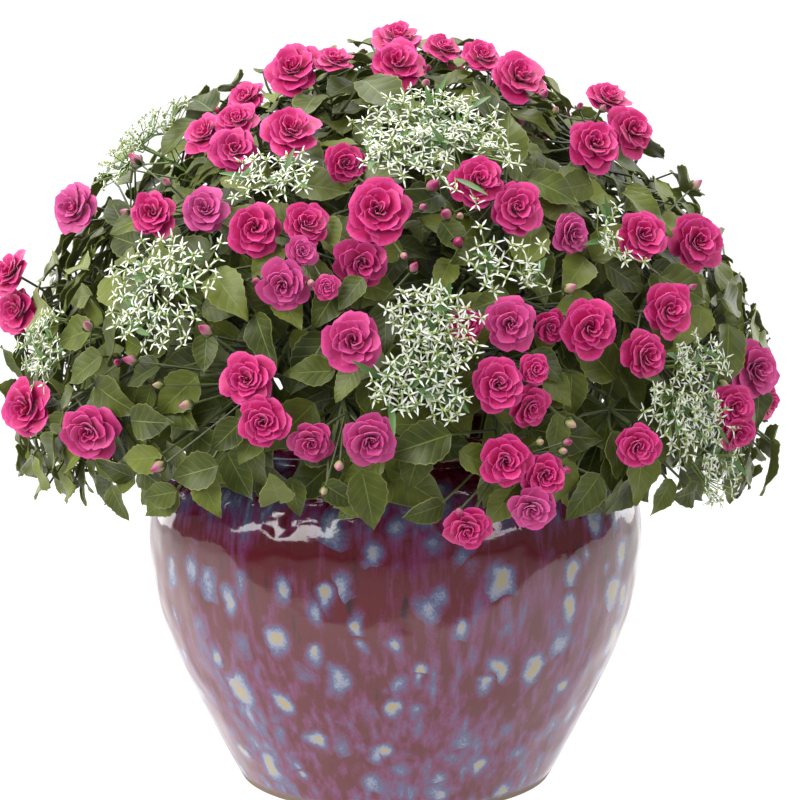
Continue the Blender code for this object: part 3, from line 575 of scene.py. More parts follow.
    def __post_init__(self) -> None:
        """Grows the plant, in the order in which each part claims its room."""
        self.draw = np.random.default_rng(self.seed)
        self.room = Room()
        self.heads = [self.near_head(head) for head in self.near_heads]
        self.heads += [self.far_head(index, *place) for index, place in enumerate(self.far_heads)]
        self.tips = [
            self.mound.outwards(np.mean([bloom.middle - bloom.facing * self.behind for bloom in head], 0))
            for head in self.heads
        ]
        self.tips += self.shoots()
        self.stems = list(self.mound.spiral(self.stem_count, self.lowest_stem))
        self.parents = [int(np.argmax([tip @ stem for stem in self.stems])) for tip in self.tips]
        self.take_stems()
        self.buds: list[list[tuple[Points, Points]]] = [[] for head in self.heads]
        for middle in self.bud_places():
            self.place_bud(middle)
        skin = self.mound.radius + self.spray_height
        self.sprays = [
            Spray(self.mound.seen_at(self.view, px, py, skin), spread, stars)
            for px, py, spread, stars in self.near_sprays
        ]
        self.sprays += [
            Spray(self.mound.fan(self.mound.bearing(*place), 1.0), self.far_spread, self.far_stars)
            for place in self.far_sprays
        ]
        self.stalks = [self.clear_stalk(index) for index in range(len(self.sprays))]
        self.twigs = [self.place_twigs(index) for index in range(len(self.sprays))]
        self.leaves = self.place_leaves()
        self.draw = np.random.default_rng(self.seed + 1)
        self.small = [self.place_small_bud(place) for place in self.small_buds]
        self.stars = [self.place_stars(index) for index in range(len(self.sprays))]
        self.extra_leaves = self.fill_leaves(self.extra_spots, self.extra_depths, self.extra_lengths)
        self.inner_leaves = self.fill_leaves(self.inner_spots, self.inner_depths, self.inner_lengths)

    def near_head(self, head: Sequence[Sequence[float]]) -> list[Bloom]:
        """Places the flowers of a head on the near side."""
        right, up, away = self.view.axes()
        blooms = []
        for seen in (SeenBloom(*numbers) for numbers in head):
            middle = self.mound.seen_at(self.view, seen.px, seen.py, self.mound.radius - seen.sunk / 1000)
            turned = self.mound.outwards(middle) * self.turn_out
            facing = right * seen.across + up * seen.up - away + turned
            blooms.append(Bloom(middle, unit(facing), seen.width / 1000))
        return blooms

    def far_head(self, index: int, around: float, above: float) -> list[Bloom]:
        """Places the flowers of a head on the far side, in a ring round its middle.

        Args:
            index: Which of the far heads it is.
            around: Degrees round the pot.
            above: Degrees above the pot's lip.

        Returns:
            Its flowers in place.
        """
        middle = self.mound.bearing(around, above)
        count = self.far_flowers[index % len(self.far_flowers)]
        blooms = []
        for number in range(count):
            turn = math.tau * (number + self.draw.uniform(-0.1, 0.1)) / count + index
            aside = circle(middle, turn) * self.far_ring
            sway = self.draw.uniform(-self.far_sway, self.far_sway, 3)
            facing = middle + aside * self.far_turn_out + sway
            width = self.draw.uniform(*self.far_widths) / 1000
            blooms.append(Bloom(self.mound.fan(middle, 1.0) + aside, unit(facing), width))
        return blooms

    def nearest(self, direction: Points, count: int) -> list[int]:
        """Sorts the first tips by how near they are to a direction."""
        return sorted(range(count), key=lambda tip: -(self.tips[tip] @ direction))

    def shoots(self) -> list[Points]:
        """Finds where the mound would be bare without a shoot."""
        tips = list(self.tips)
        for direction in self.mound.spiral(self.shoot_spots, self.mound.lowest):
            if max(tip @ direction for tip in tips) < math.cos(self.shoot_spacing):
                tips.append(direction)
        return tips[len(self.tips) :]

    def stem_way(self, stem: int, steps: int = 5) -> Points:
        """Gives points up the main part of a stem, from the soil to its fork."""
        return self.mound.climb(self.stems[stem], self.fork, steps)

    def branch_way(self, tip: int, steps: int = 3) -> Points:
        """Gives points up the branch to a tip. The branches of one stem leave it one below another."""
        parent = self.parents[tip]
        start, end = self.stems[parent], self.tips[tip]
        low = self.fork - self.fork_step * self.parents[:tip].count(parent)
        return np.array([
            self.mound.fan(unit(start * (1.0 - s) + end * s), low + (self.branch_end - low) * s)
            for s in np.linspace(0.0, 1.0, steps)
        ])

    def stalk_way(self, direction: Points, steps: int = 5) -> Points:
        """Gives points up a spurge stalk, from the soil to its end."""
        return self.mound.climb(direction, self.stalk_end, steps)

    def neck(self, head: int) -> tuple[Points, Points]:
        """Gives the foot of a head's neck, a gap above its branch, and its top."""
        way = self.branch_way(head)
        along = unit(way[-1] - way[-2])
        foot = way[-1] + along * self.gap
        return foot, foot + along * self.neck_length

    def parting(self, head: int, number: int) -> Points:
        """Gives where a stalk of a head leaves its neck: the first at the top, and the others below it."""
        foot, top = self.neck(head)
        step, most = self.partings
        return top + (foot - top) * most * (number * step % 1.0)

    def pedicel_tip(self, bloom: Bloom, start: Points) -> Points:
        """Gives where a flower's stalk ends inside it: off its axis, on the side that the stalk comes from.

        Args:
            bloom: The flower.
            start: Where its stalk starts.

        Returns:
            The point.
        """
        aside = start - bloom.middle
        aside = unit(aside - bloom.facing * (aside @ bloom.facing) + bloom.facing * 1e-6)
        out, back = self.pedicel_end
        return bloom.middle + (aside * out + bloom.facing * back) * bloom.width / 2

    def take_stems(self) -> None:
        """Takes the room of the stems, branches, flower stalks and flowers."""
        for stem in range(self.stem_count):
            self.room.take(Room.rod(self.stem_way(stem), self.stem_radius), f"stem {stem}")
        for tip, parent in enumerate(self.parents):
            way = self.branch_way(tip)
            for ends in zip(way, way[1:]):
                self.room.take(Room.rod(ends, self.branch_radius), f"stem {parent}")
        for head, blooms in enumerate(self.heads):
            self.room.take(Room.rod(self.neck(head), self.neck_radius), f"head {head}")
            for number, bloom in enumerate(blooms):
                start = self.parting(head, number)
                stalk = Room.rod((start, self.pedicel_tip(bloom, start)), self.pedicel_radius)
                self.room.take(stalk, f"head {head}")
                flower = Room.turned(bloom.middle, bloom.facing, bloom.width / 2, self.flower_room)
                self.room.take(flower, f"head {head}")

    def bud_places(self) -> list[Points]:
        """Gives where buds may be: those that are seen, and some drawn near each head on the far side."""
        skin = self.mound.radius + self.bud_height
        places = [self.mound.seen_at(self.view, px, py, skin) for px, py in self.near_buds]
        for tip in self.tips[len(self.near_heads) : len(self.heads)]:
            for _ in range(self.far_buds):
                stray = unit(tip * self.mound.radius + self.draw.normal(0.0, self.bud_stray, 3))
                places.append(self.mound.fan(stray, 1.0))
        return places

    def place_bud(self, middle: Points) -> None:
        """Puts a bud on the nearest head that has a clear way to it.

        Args:
            middle: Where the bud is.
        """
        direction = self.mound.outwards(middle)
        for head in self.nearest(direction, len(self.heads))[: self.nearest_heads]:
            start = self.parting(head, len(self.heads[head]) + len(self.buds[head]))
            facing = unit(direction + unit(middle - start))
            bud = Room.turned(middle, facing, self.bud_length, self.bud_room)
            stalk = Room.rod((start, middle), self.pedicel_radius)
            if self.room.is_clear(bud) and self.room.is_clear(stalk, f"head {head}"):
                self.room.take(bud, f"head {head}")
                self.room.take(stalk, f"head {head}")
                self.buds[head].append((middle, facing))
                return

    def clear_stalk(self, index: int) -> Points:
        """Finds a direction, close to a spray's own, in which its stalk meets nothing.

        Args:
            index: Which spray.

        Returns:
            The direction.

        Raises:
            ValueError: If there is no such direction.
        """
        direction = self.mound.outwards(self.sprays[index][0])
        for number in range(self.stalk_tries):
            off = self.stalk_stray * math.sqrt(number)
            tried = unit(direction + circle(direction, number * GOLDEN_TURN) * off)
            rings = Room.rod(self.stalk_way(tried), self.stalk_radius + self.clearance)
            if self.room.is_clear(rings):
                self.room.take(rings, f"spray {index}")
                return tried
        raise ValueError(f"no clear way for spurge stalk {index}")

    def place_twigs(self, index: int) -> list[Star]:
        """Places the main twigs of a spray, where they meet nothing.

        Args:
            index: Which spray.

        Returns:
            The twigs.
        """
        middle, spread, _ = self.sprays[index]
        low, high = self.stalk_way(self.stalks[index])[-2:]
        outward = self.mound.outwards(middle)
        twigs: list[Star] = []
        for number in range(self.twig_tries):
            share = math.sqrt((number + 0.5) / self.twig_tries)
            aside = circle(outward, number * GOLDEN_TURN + index) * share
            end = middle + (aside - outward * self.spray_dome * share**2) * spread / 1000
            foot = high + (low - high) * (self.twig_feet[0] + self.twig_feet[1] * len(twigs))
            twig = Room.rod((foot, end), self.twig_radius)
            star = Room.turned(end, unit(end - foot), self.bract_length, self.star_room)
            if self.room.is_clear(twig, f"spray {index}") and self.room.is_clear(star):
                self.room.take(twig, f"spray {index}")
                self.room.take(star, f"spray {index}")
                twigs.append(Star(foot, end))
            if len(twigs) == self.twig_count:
                break
        return twigs

    def blade_width(self, along: Any) -> Any:
        """Gives a leaf blade's half width, as a share of its widest."""
        along = np.clip(along, 0.0, 1.0)
        return 2.45 * along**0.62 * (1.0 - along) ** 0.78 * (1.16 - 0.22 * along)

    def blade_point(self, leaf: Leaf, along: float, across: float) -> Points:
        """Gives a point on a leaf's blade."""
        half = leaf.length * self.leaf_proportion / 2 * self.blade_width(along) * across
        lift = abs(half) * self.leaf_fold - leaf.curl * leaf.length * along**2
        return leaf.base + leaf.axis * leaf.length * along + leaf.side * half + leaf.normal * lift

    def leaf_room(self, leaf: Leaf, clearance: float) -> tuple[list[Points], list[Points]]:
        """Gives the rings that hold a leaf.

        Args:
            leaf: The leaf.
            clearance: The room to keep round it.

        Returns:
            The rings of its stalk, but for its foot, and those of its blade.
        """
        start = leaf.root + (leaf.base - leaf.root) * self.petiole_held
        stalk = Room.rod((start, leaf.base), self.petiole_width / 2)
        rim = leaf.side * clearance * self.blade_gap
        thick = leaf.normal * (clearance * self.blade_gap + self.blade_thickness)
        blade = []
        for along in np.linspace(0.0, 1.0, 8):
            left, middle, right = (self.blade_point(leaf, along, across) for across in (-1.0, 0.0, 1.0))
            blade.append(np.array((left - rim, middle + thick, right + rim, middle - thick)))
        return stalk, blade

    def place_leaves(self) -> list[Leaf]:
        """Places leaves round the end of every branch, in turns, and then over bare spots of the mound.

        Returns:
            The leaves.
        """
        leaves: list[Leaf] = []
        for number in range(self.leaf_tries):
            for tip in range(len(self.tips)):
                self.grow(self.leaf_at(tip, number), leaves, self.whorl_leaves)
        spots = list(self.mound.spiral(self.fill_spots, self.mound.lowest))
        for spot in self.draw.permutation(self.fill_spots):
            for leaf in self.leaves_over(spots[spot]):
                self.grow(leaf, leaves, self.leaf_count)
        return leaves

    def grow(self, leaf: Leaf, leaves: list[Leaf], most: int) -> None:
        """Adds a leaf if there are fewer than most, and it hangs clear of the pot and of all that is there.

        Args:
            leaf: The leaf.
            leaves: The leaves so far.
            most: How many there may be.
        """
        stalk, blade = self.leaf_room(leaf, self.clearance)
        high = min(ring[:, 2].min() for ring in blade) > self.lowest_tip
        if len(leaves) < most and high and self.pot.clears(stalk + blade) and self.room.is_clear(blade):
            if self.room.is_clear(stalk, f"stem {leaf.stem}"):
                self.room.take(stalk, f"leaf {len(leaves)}")
                self.room.take(blade, f"leaf {len(leaves)}")
                leaves.append(leaf)

    def leaf(self, tip: int, root: Points, base: Points, axis: Points, side: Points, *form: float) -> Leaf:
        """Gives a leaf that grows from a tip's stem, by its places, its directions, its length and its curl."""
        return Leaf(self.parents[tip], root, base, axis, side, np.cross(axis, side), *form)

    def hanging(self, outward: Points, aside: Points, droop: float, rise: float) -> Points:
        """Gives the way that a leaf's blade runs: aside over the mound, down by its weight and outwards."""
        return unit(aside + (outward * outward[2] - TOP) * droop + outward * rise)

    def leaves_over(self, direction: Points) -> Iterator[Leaf]:
        """Draws one leaf over a bare spot of the mound.

        Args:
            direction: Where the spot is.

        Yields:
            The leaf, once for each place that it could grow from.
        """
        outward = unit(direction + self.draw.normal(0.0, self.fill_stray, 3))
        turn = self.draw.uniform(0.0, math.tau)
        rise = self.draw.uniform(0.0, self.fill_rise)
        length = self.draw.uniform(*self.leaf_lengths)
        tilt = self.draw.uniform(-self.leaf_tilt, self.leaf_tilt, 3)
        curl = self.draw.uniform(*self.leaf_curls)
        middle = self.mound.from_middle(outward * (self.mound.radius - self.fill_depth))
        core = Room.rod([middle + outward * end for end in self.fill_core_ends], self.fill_core)
        if not self.room.is_clear(core):
            return
        axis = self.hanging(outward, circle(outward, turn), self.fill_droop, rise)
        side = unit(np.cross(outward + tilt, axis))
        base = middle - axis * length / 2
        for tip in self.nearest(outward, len(self.tips))[: self.fill_tips]:
            way = self.branch_way(tip)
            runs = zip(way, way[1:])
            roots = [low + (high - low) * share for low, high in runs for share in self.root_shares]
            for root in sorted(roots, key=lambda point: np.linalg.norm(point - base)):
                if np.linalg.norm(root - base) < self.longest_petiole:
                    yield self.leaf(tip, root, base, axis, side, length, curl)

    def leaf_at(self, tip: int, number: int) -> Leaf:
        """Draws a leaf near the end of a branch, a golden turn on from the one before, its tip hanging.

        Args:
            tip: Which branch.
            number: Which leaf on it.

        Returns:
            The leaf.
        """
        way = self.branch_way(tip)
        outward = self.mound.outwards(way[-1])
        aside = circle(outward, number * GOLDEN_TURN + tip + self.draw.uniform(*self.whorl_strays))
        root = way[-1] - unit(way[-1] - way[-2]) * (self.whorl_top + self.whorl_step * number)
        rise = unit(aside + outward * self.draw.uniform(*self.petiole_rises))
        base = root + rise * self.draw.uniform(*self.petiole_lengths)
        axis = self.hanging(outward, aside, self.leaf_droop, self.draw.uniform(*self.leaf_rises))
        length = self.draw.uniform(*self.leaf_lengths)
        tilt = self.draw.uniform(-self.leaf_tilt, self.leaf_tilt, 3)
        normal = self.mound.outwards(base + axis * length / 2) + tilt
        side = unit(np.cross(normal, axis))
        curl = self.draw.uniform(*self.leaf_curls)
        return self.leaf(tip, root, base, axis, side, length, curl)

    def place_small_bud(self, place: tuple[int, int]) -> tuple[int, Points, Points]:
        """Puts a small bud on the head nearest to it."""
        middle = self.mound.seen_at(self.view, *place, self.mound.radius + self.bud_height)
        direction = self.mound.outwards(middle)
        head = int(np.argmax([tip @ direction for tip in self.tips[: len(self.heads)]]))
        facing = unit(direction + unit(middle - self.parting(head, 1)))
        bud = Room.turned(middle, facing, self.bud_length * self.small_bud, self.bud_room)
        self.room.take(bud, f"head {head}")
        return head, middle, facing

    def place_stars(self, index: int) -> list[Star]:
        """Fills a spray with stars of bracts.

        Args:
            index: Which spray.

        Returns:
            The stars, each with the fork that its twig grows from.
        """
        middle, spread, count = self.sprays[index]
        outward = self.mound.outwards(middle)
        top = self.stalk_way(self.stalks[index])[-1]
        twigs, parts = self.twigs[index], self.fork_shares
        forks = [top + (twig.end - top) * part for twig in twigs for part in parts] or [top]
        blooms = [bloom for head in self.heads for bloom in head]
        stars = []
        for number in range(count):
            share, stray = math.sqrt((number + 0.5) / count), self.draw.uniform(*self.star_stray)
            aside = circle(outward, number * GOLDEN_TURN + index) * share * stray
            end = middle + (aside - outward * self.spray_dome * share**2) * spread * self.star_spread / 1000
            end = end + outward * self.draw.uniform(*self.star_rise)
            foot = min(forks, key=lambda fork: np.linalg.norm(fork - end))
            star = Room.turned(end, outward, self.small_star, self.star_room)
            gaps = (np.linalg.norm(end - bloom.middle) - bloom.width / 2 for bloom in blooms)
            if all(gap > self.bloom_gap for gap in gaps) and self.room.is_clear(star, f"spray {index}"):
                self.room.take(star, f"spray {index}")
                stars.append(Star(foot, end))
        return stars

    def hollow(self, outward: Points) -> float:
        """Gives how far the mound sinks in below its skin in one direction."""
        dent = self.dent * max(0.0, noise.noise(Vector(outward) / self.dent_size) + 0.15)
        height = math.degrees(math.asin(outward[2]))
        return dent + self.shoulder * math.exp(-(((height - self.shoulder_at) / self.shoulder_width) ** 2))

    def fill_leaves(self, spots: int, depths: Sequence[float], lengths: Pair) -> list[Leaf]:
        """Tiles the mound with more leaves, each at the first depth that is free.

        Args:
            spots: How many directions are tried.
            depths: The depths to try.
            lengths: The shortest and the longest leaf.

        Returns:
            The leaves.
        """
        leaves = []
        ways = [self.branch_way(tip, 9) for tip in range(len(self.tips))]
        for direction in self.mound.spiral(spots, self.mound.lowest):
            outward = unit(direction + self.draw.normal(0.0, self.fill_stray, 3))
            aside = circle(outward, self.draw.uniform(0.0, math.tau))
            axis = self.hanging(outward, aside, self.fill_droop, self.draw.uniform(*self.extra_rises))
            length = self.draw.uniform(*lengths)
            normal = outward + self.draw.uniform(-self.extra_tilt, self.extra_tilt, 3)
            side = unit(np.cross(normal, axis))
            curl = self.draw.uniform(0.0, self.extra_curl)
            hollow = self.hollow(outward)
            for depth in depths:
                middle = self.mound.from_middle(outward * (self.mound.radius - depth - hollow))
                base = middle - axis * length / 2
                tip = int(np.argmax([other @ outward for other in self.tips]))
                root = min(ways[tip], key=lambda point: np.linalg.norm(point - base))
                leaf = self.leaf(tip, root, base, axis, side, length, curl)
                blade = self.leaf_room(leaf, self.extra_clearance)[1]
                high = min(ring[:, 2].min() for ring in blade) > self.extra_lowest
                if high and self.pot.clears(blade) and self.room.is_clear(blade):
                    self.room.take(blade, "filling")
                    leaves.append(leaf)
                    break
        return leaves


def linear(code: str) -> tuple[float, float, float, float]:
    """Turns an sRGB colour into linear light."""
    shares = [int(code[start : start + 2], 16) / 255 for start in (0, 2, 4)]
    return (*(s / 12.92 if s <= 0.04045 else ((s + 0.055) / 1.055) ** 2.4 for s in shares), 1.0)


def feed(tree: Tree, socket: bpy.types.NodeSocket, value: Any) -> None:
    """Gives a socket a value, or links it to an output or to a node's first output."""
    source = value.outputs[0] if isinstance(value, bpy.types.Node) else value
    if isinstance(source, bpy.types.NodeSocket):
        tree.links.new(source, socket)
    elif source is not None:
        socket.default_value = source


def add(tree: Tree, kind: str, *inputs: Any, ramp: Stops = (), **named: Any) -> Any:
    """Adds a node with its settings and links.

    Args:
        tree: The tree that it goes in.
        kind: Its type's name, without ShaderNode. A math node's operation follows it.
        inputs: What feeds its sockets, in their order.
        ramp: A color ramp's stops, as pairs of place and colour.
        named: Its sockets' feeds, for names that start with a capital, and its own settings.

    Returns:
        The node.
    """
    kind, _, operation = kind.partition(" ")
    node = tree.nodes.new(f"ShaderNode{kind}")
    feeds = dict(enumerate(inputs))
    for name, value in (named | ({"operation": operation} if operation else {})).items():
        if name[0].isupper():
            feeds[name] = value
        else:
            setattr(node, name, value)
    for _ in ramp[2:]:
        node.color_ramp.elements.new(1.0)
    for number, (place, colour) in enumerate(ramp):
        element = node.color_ramp.elements[number]
        element.position, element.color = place, linear(colour)
    for key, value in feeds.items():
        feed(tree, node.inputs[key], value)
    return node


def places_on(tree: Tree) -> tuple[Any, Any, Any, Any]:
    """Reads a copy's own map, the places across it and along it, and its tint."""
    own = add(tree, "UVMap", uv_map=UV_LAYER)
    across, along, _ = add(tree, "SeparateXYZ", own).outputs
    return own, across, along, add(tree, "Attribute", attribute_name=TINT).outputs["Fac"]


@dataclass(frozen=True)
class Finish:
    """A surface finish. Each kind of surface feeds the shader of a new material."""

    name: str = "finish"
    roughness: float = 0.5
    ior: float = 1.45

    def material(self) -> bpy.types.Material:
        """Makes the material."""
        made = bpy.data.materials.new(self.name)
        made.use_nodes = True
        tree = made.node_tree
        feeds = {"Roughness": self.roughness, "IOR": self.ior, **self.paint(tree)}
        for name, value in feeds.items():
            feed(tree, tree.nodes["Principled BSDF"].inputs[name], value)
        return made

    def paint(self, tree: Tree) -> dict[str, Any]:
        """Adds the finish's nodes, and gives what feeds each of the shader's sockets."""
        raise NotImplementedError


@dataclass(frozen=True)
class LeafSkin(Finish):
    """A busy lizzie leaf: a waxy skin, dark above and paler below, with sunk pale veins and a pale rim."""

    name: str = "waxy_leaf_skin"
    roughness: float = 0.44
    ior: float = 1.36
    dark: str = "242d0d"
    mid: str = "4b5419"
    light: str = "717a30"
    under: str = "747c44"
    vein: str = "7a8845"
    rim: str = "8a8b48"
    vein_pairs: float = 6.5
    mottle_mm: float = 14.0

    def paint(self, tree: Tree) -> dict[str, Any]:
        """Paints the blade by its own width and length."""
        _, wide, along, tint = places_on(tree)
        centred = add(tree, "Math SUBTRACT", wide, 0.5)
        across = add(tree, "Math MULTIPLY", add(tree, "Math ABSOLUTE", centred), 2.0)
        where = add(tree, "TexCoord").outputs["Object"]
        mottle = add(tree, "TexNoise", Vector=where, Scale=1000 / self.mottle_mm, Detail=4.0)
        shade = add(tree, "MapRange", add(tree, "Math ADD", mottle, tint), 0.35, 1.65)
        green = add(tree, "ValToRGB", shade, ramp=((0.0, self.dark), (0.5, self.mid), (1.0, self.light)))
        midrib = add(tree, "MapRange", across, 0.01, 0.05, 0.65, 0.0, **EASED)
        arc = add(tree, "Math MULTIPLY", add(tree, "Math POWER", across, 0.8), 0.24)
        run = add(tree, "Math SUBTRACT", along, arc)
        crest = add(tree, "Math SINE", add(tree, "Math MULTIPLY", run, self.vein_pairs * math.tau))
        side_vein = add(tree, "MapRange", crest, 0.90, 1.0, 0.0, 0.22, **EASED)
        veins = add(tree, "Math MAXIMUM", midrib, side_vein)
        veined = add(tree, "Mix", veins, *UNUSED, green, linear(self.vein), data_type="RGBA").outputs[2]
        edge = add(tree, "MapRange", across, 0.92, 1.0, 0.0, 0.6, **EASED)
        rimmed = add(tree, "Mix", edge, *UNUSED, veined, linear(self.rim), data_type="RGBA").outputs[2]
        below = add(tree, "Attribute", attribute_name=UNDER).outputs["Fac"]
        pale = add(tree, "Math MULTIPLY", below, 0.75)
        both = add(tree, "Mix", pale, *UNUSED, rimmed, linear(self.under), data_type="RGBA").outputs[2]
        relief = add(tree, "Math SUBTRACT", add(tree, "Math MULTIPLY", crest, -0.35), veins)
        return {"Base Color": both, "Normal": add(tree, "Bump", Strength=0.3, Distance=0.0005, Height=relief)}


@dataclass(frozen=True)
class PetalSkin(Finish):
    """A petal: thin and velvety, with fine ribs. Its colour is dark at its foot, as painted shade deep inside
    the flower, and lighter at its frilled edge, partly its own colour and partly painted highlight.
    """

    name: str = "velvety_petal"
    roughness: float = 0.55
    # Painted shade: the dark colour at each petal's foot, deep inside the flower.
    foot: str = "50041c"
    body: str = "ba0b5e"
    # Partly the petal's own colour and partly painted highlight along its frilled edge.
    edge: str = "da3f90"
    faded: str = "c65a9f"
    ribs: float = 26.0
    sheen: float = 0.25

    def paint(self, tree: Tree) -> dict[str, Any]:
        """Paints the petal by its own width and length."""
        own, _, along, tint = places_on(tree)
        fan = add(tree, "Mapping", Vector=own, Scale=(self.ribs, 2.0, 1.0))
        ribs = add(tree, "TexNoise", Vector=fan, Scale=1.0, Detail=3.0)
        reach = add(tree, "Math ADD", along, add(tree, "Math MULTIPLY_ADD", ribs, 0.22, -0.11))
        # The dark foot is painted shade deep inside the flower. The lighter edge is partly the petal's own
        # colour and partly painted highlight.
        stops = ((0.05, self.foot), (0.45, self.body), (0.86, self.body), (1.0, self.edge))
        pink = add(tree, "ValToRGB", reach, ramp=stops)
        age = add(tree, "MapRange", tint, 0.55, 1.0, 0.0, 0.55)
        aged = add(tree, "Mix", age, *UNUSED, pink, linear(self.faded), data_type="RGBA")
        return {
            "Base Color": aged.outputs[2],
            "Normal": add(tree, "Bump", Strength=0.35, Distance=0.0004, Height=ribs),
            "Sheen Weight": self.sheen,
            "Sheen Roughness": 0.4,
        }


@dataclass(frozen=True)
class LengthwiseSkin(Finish):
    """A plant skin whose colour changes from one end to the other, with a fine mottle."""

    name: str = "plant_skin"
    roughness: float = 0.5
    stops: Stops = ((0.0, "7f8d45"), (1.0, "8f9a52"))
    mottle_mm: float = 5.0
    mottle: float = 0.12
    tinted: float = 0.0

    def paint(self, tree: Tree) -> dict[str, Any]:
        """Paints the skin along its length."""
        _, _, along, tint = places_on(tree)
        where = add(tree, "TexCoord").outputs["Object"]
        spots = add(tree, "TexNoise", Vector=where, Scale=1000 / self.mottle_mm)
        shift = add(tree, "Math MULTIPLY_ADD", spots, 2 * self.mottle, -self.mottle)
        own = add(tree, "Math MULTIPLY_ADD", tint, self.tinted, -self.tinted / 2)
        moved = add(tree, "Math ADD", add(tree, "Math ADD", along, shift), own)
        bump = add(tree, "Bump", Strength=0.2, Distance=0.0003, Height=spots)
        return {"Base Color": add(tree, "ValToRGB", moved, ramp=self.stops), "Normal": bump}


@dataclass(frozen=True)
class RunGlaze(Finish):
    """A thick copper-red glaze with milky blue runs and tan spots: glassy, dimpled and streaked downwards."""

    name: str = "run_glaze"
    roughness: float = 0.07
    ior: float = 1.65
    deep: str = "2c0812"
    red: str = "560a18"
    violet: str = "6b2a52"
    blue: str = "4f5577"
    milk: str = "868b9d"
    tan: str = "9a8d6c"
    clay: str = "6f5c44"
    spot_mm: float = 24.0
    pot_height: float = 0.294

    def spots(self, tree: Tree, where: Any, grit: Any) -> Any:
        """Measures how near each place is to a spot, which is longer below its middle than above.

        Args:
            tree: The tree that the nodes go in.
            where: Where each place is.
            grit: What frays the spots' edges.

        Returns:
            The nearness: 0 at a spot's middle, and more away from it.
        """
        wobble = add(tree, "TexNoise", Vector=where, Scale=38.0, Detail=2.0).outputs["Color"]
        bent = add(tree, "VectorMath SCALE", add(tree, "VectorMath SUBTRACT", wobble, HALVES), Scale=0.020)
        moved = add(tree, "VectorMath ADD", where, bent)
        squeezed = add(tree, "Mapping", Vector=moved, Scale=(1.0, 1.0, 0.8))
        cells = add(tree, "TexVoronoi", Vector=squeezed, Scale=1000 / self.spot_mm)
        gap = add(tree, "VectorMath SUBTRACT", squeezed, cells.outputs["Position"])
        offset = add(tree, "VectorMath SCALE", gap, Scale=1000 / self.spot_mm)
        x, y, z = add(tree, "SeparateXYZ", offset).outputs
        stretch = add(tree, "Math MULTIPLY_ADD", add(tree, "Math GREATER_THAN", z, 0.0), 0.45, 0.60)
        dripped = add(tree, "CombineXYZ", x, y, add(tree, "Math MULTIPLY", z, stretch))
        away = add(tree, "VectorMath LENGTH", dripped).outputs["Value"]
        lot, other, _ = add(tree, "SeparateColor", cells.outputs["Color"]).outputs
        size = add(tree, "MapRange", lot, 0.0, 1.0, 0.85, 1.7)
        thin = add(tree, "MapRange", other, 0.4, 0.9, 0.0, 0.22)
        return add(tree, "Math ADD", add(tree, "Math MULTIPLY_ADD", away, size, thin), grit)

    def paint(self, tree: Tree) -> dict[str, Any]:
        """Paints the glaze: streaks, then spots with haloes that run down, then bare clay at the foot."""
        where = add(tree, "TexCoord").outputs["Object"]
        grain = add(tree, "TexNoise", Vector=where, Scale=520.0, Detail=3.0)
        grit = add(tree, "Math MULTIPLY_ADD", grain, 0.26, -0.13)
        near = self.spots(tree, where, grit)
        runs_at = add(tree, "Mapping", Vector=where, Scale=(120.0, 120.0, 16.0))
        runs = add(tree, "TexNoise", Vector=runs_at, Scale=1.0, Detail=3.0)
        patch = add(tree, "TexNoise", Vector=where, Scale=13.0, Detail=2.0)
        _, _, height = add(tree, "SeparateXYZ", where).outputs
        greys = ((0.0, "a0a0a0"), (0.35, "808080"), (0.62, "4a4a4a"), (0.72, "404040"), (0.84, "c0c0c0"))
        rise = add(tree, "MapRange", height, 0.0, self.pot_height)
        band = add(tree, "ValToRGB", rise, ramp=(*greys, (0.93, "404040")))
        haze = add(tree, "Math ADD", add(tree, "Math MULTIPLY", runs, 1.6), patch)
        gritty = add(tree, "Math ADD", add(tree, "Math ADD", haze, band), grit)
        reds = ((0.0, self.deep), (0.2, self.red), (0.38, self.red), (0.58, self.violet))
        blues = ((0.78, self.blue), (1.0, self.milk))
        ground = add(tree, "ValToRGB", add(tree, "MapRange", gritty, 0.95, 2.2), ramp=reds + blues)
        rings = ((0.18, self.tan), (0.26, self.milk), (0.38, self.blue), (0.58, self.violet))
        core = add(tree, "ValToRGB", near, ramp=rings)
        halo = add(tree, "MapRange", near, 0.34, 0.72, 1.0, 0.0, **EASED)
        spotted = add(tree, "Mix", halo, *UNUSED, ground, core, data_type="RGBA").outputs[2]
        foot = add(tree, "MapRange", height, 0.003, 0.008, 1.0, 0.0)
        dimples = add(tree, "TexNoise", Vector=where, Scale=24.0, Detail=1.0)
        ripple = add(tree, "Bump", Strength=0.6, Distance=0.006, Height=dimples)
        pits = add(tree, "TexNoise", Vector=where, Scale=210.0, Detail=2.0)
        bare = add(tree, "Mix", foot, *UNUSED, spotted, linear(self.clay), data_type="RGBA")
        return {
            "Base Color": bare.outputs[2],
            "Roughness": add(tree, "MapRange", foot, 0.0, 1.0, self.roughness, 0.8),
            "Normal": add(tree, "Bump", Strength=0.10, Distance=0.0006, Height=pits, Normal=ripple),
        }


@dataclass(frozen=True)
class Peat(Finish):
    """Potting soil: dark crumbs of peat, paler at their middles, dull all over."""

    name: str = "peat_soil"
    roughness: float = 0.95
    dark: str = "17100b"
    light: str = "4a3424"
    crumb_mm: float = 3.0

    def paint(self, tree: Tree) -> dict[str, Any]:
        """Paints the crumbs."""
        where = add(tree, "TexCoord").outputs["Object"]
        crumbs = add(tree, "TexVoronoi", Vector=where, Scale=1000 / self.crumb_mm)
        colour = add(tree, "ValToRGB", crumbs, ramp=((0.1, self.light), (0.7, self.dark)))
        bump = add(tree, "Bump", Strength=0.9, Distance=0.002, Height=crumbs)
        return {"Base Color": colour, "Normal": bump}


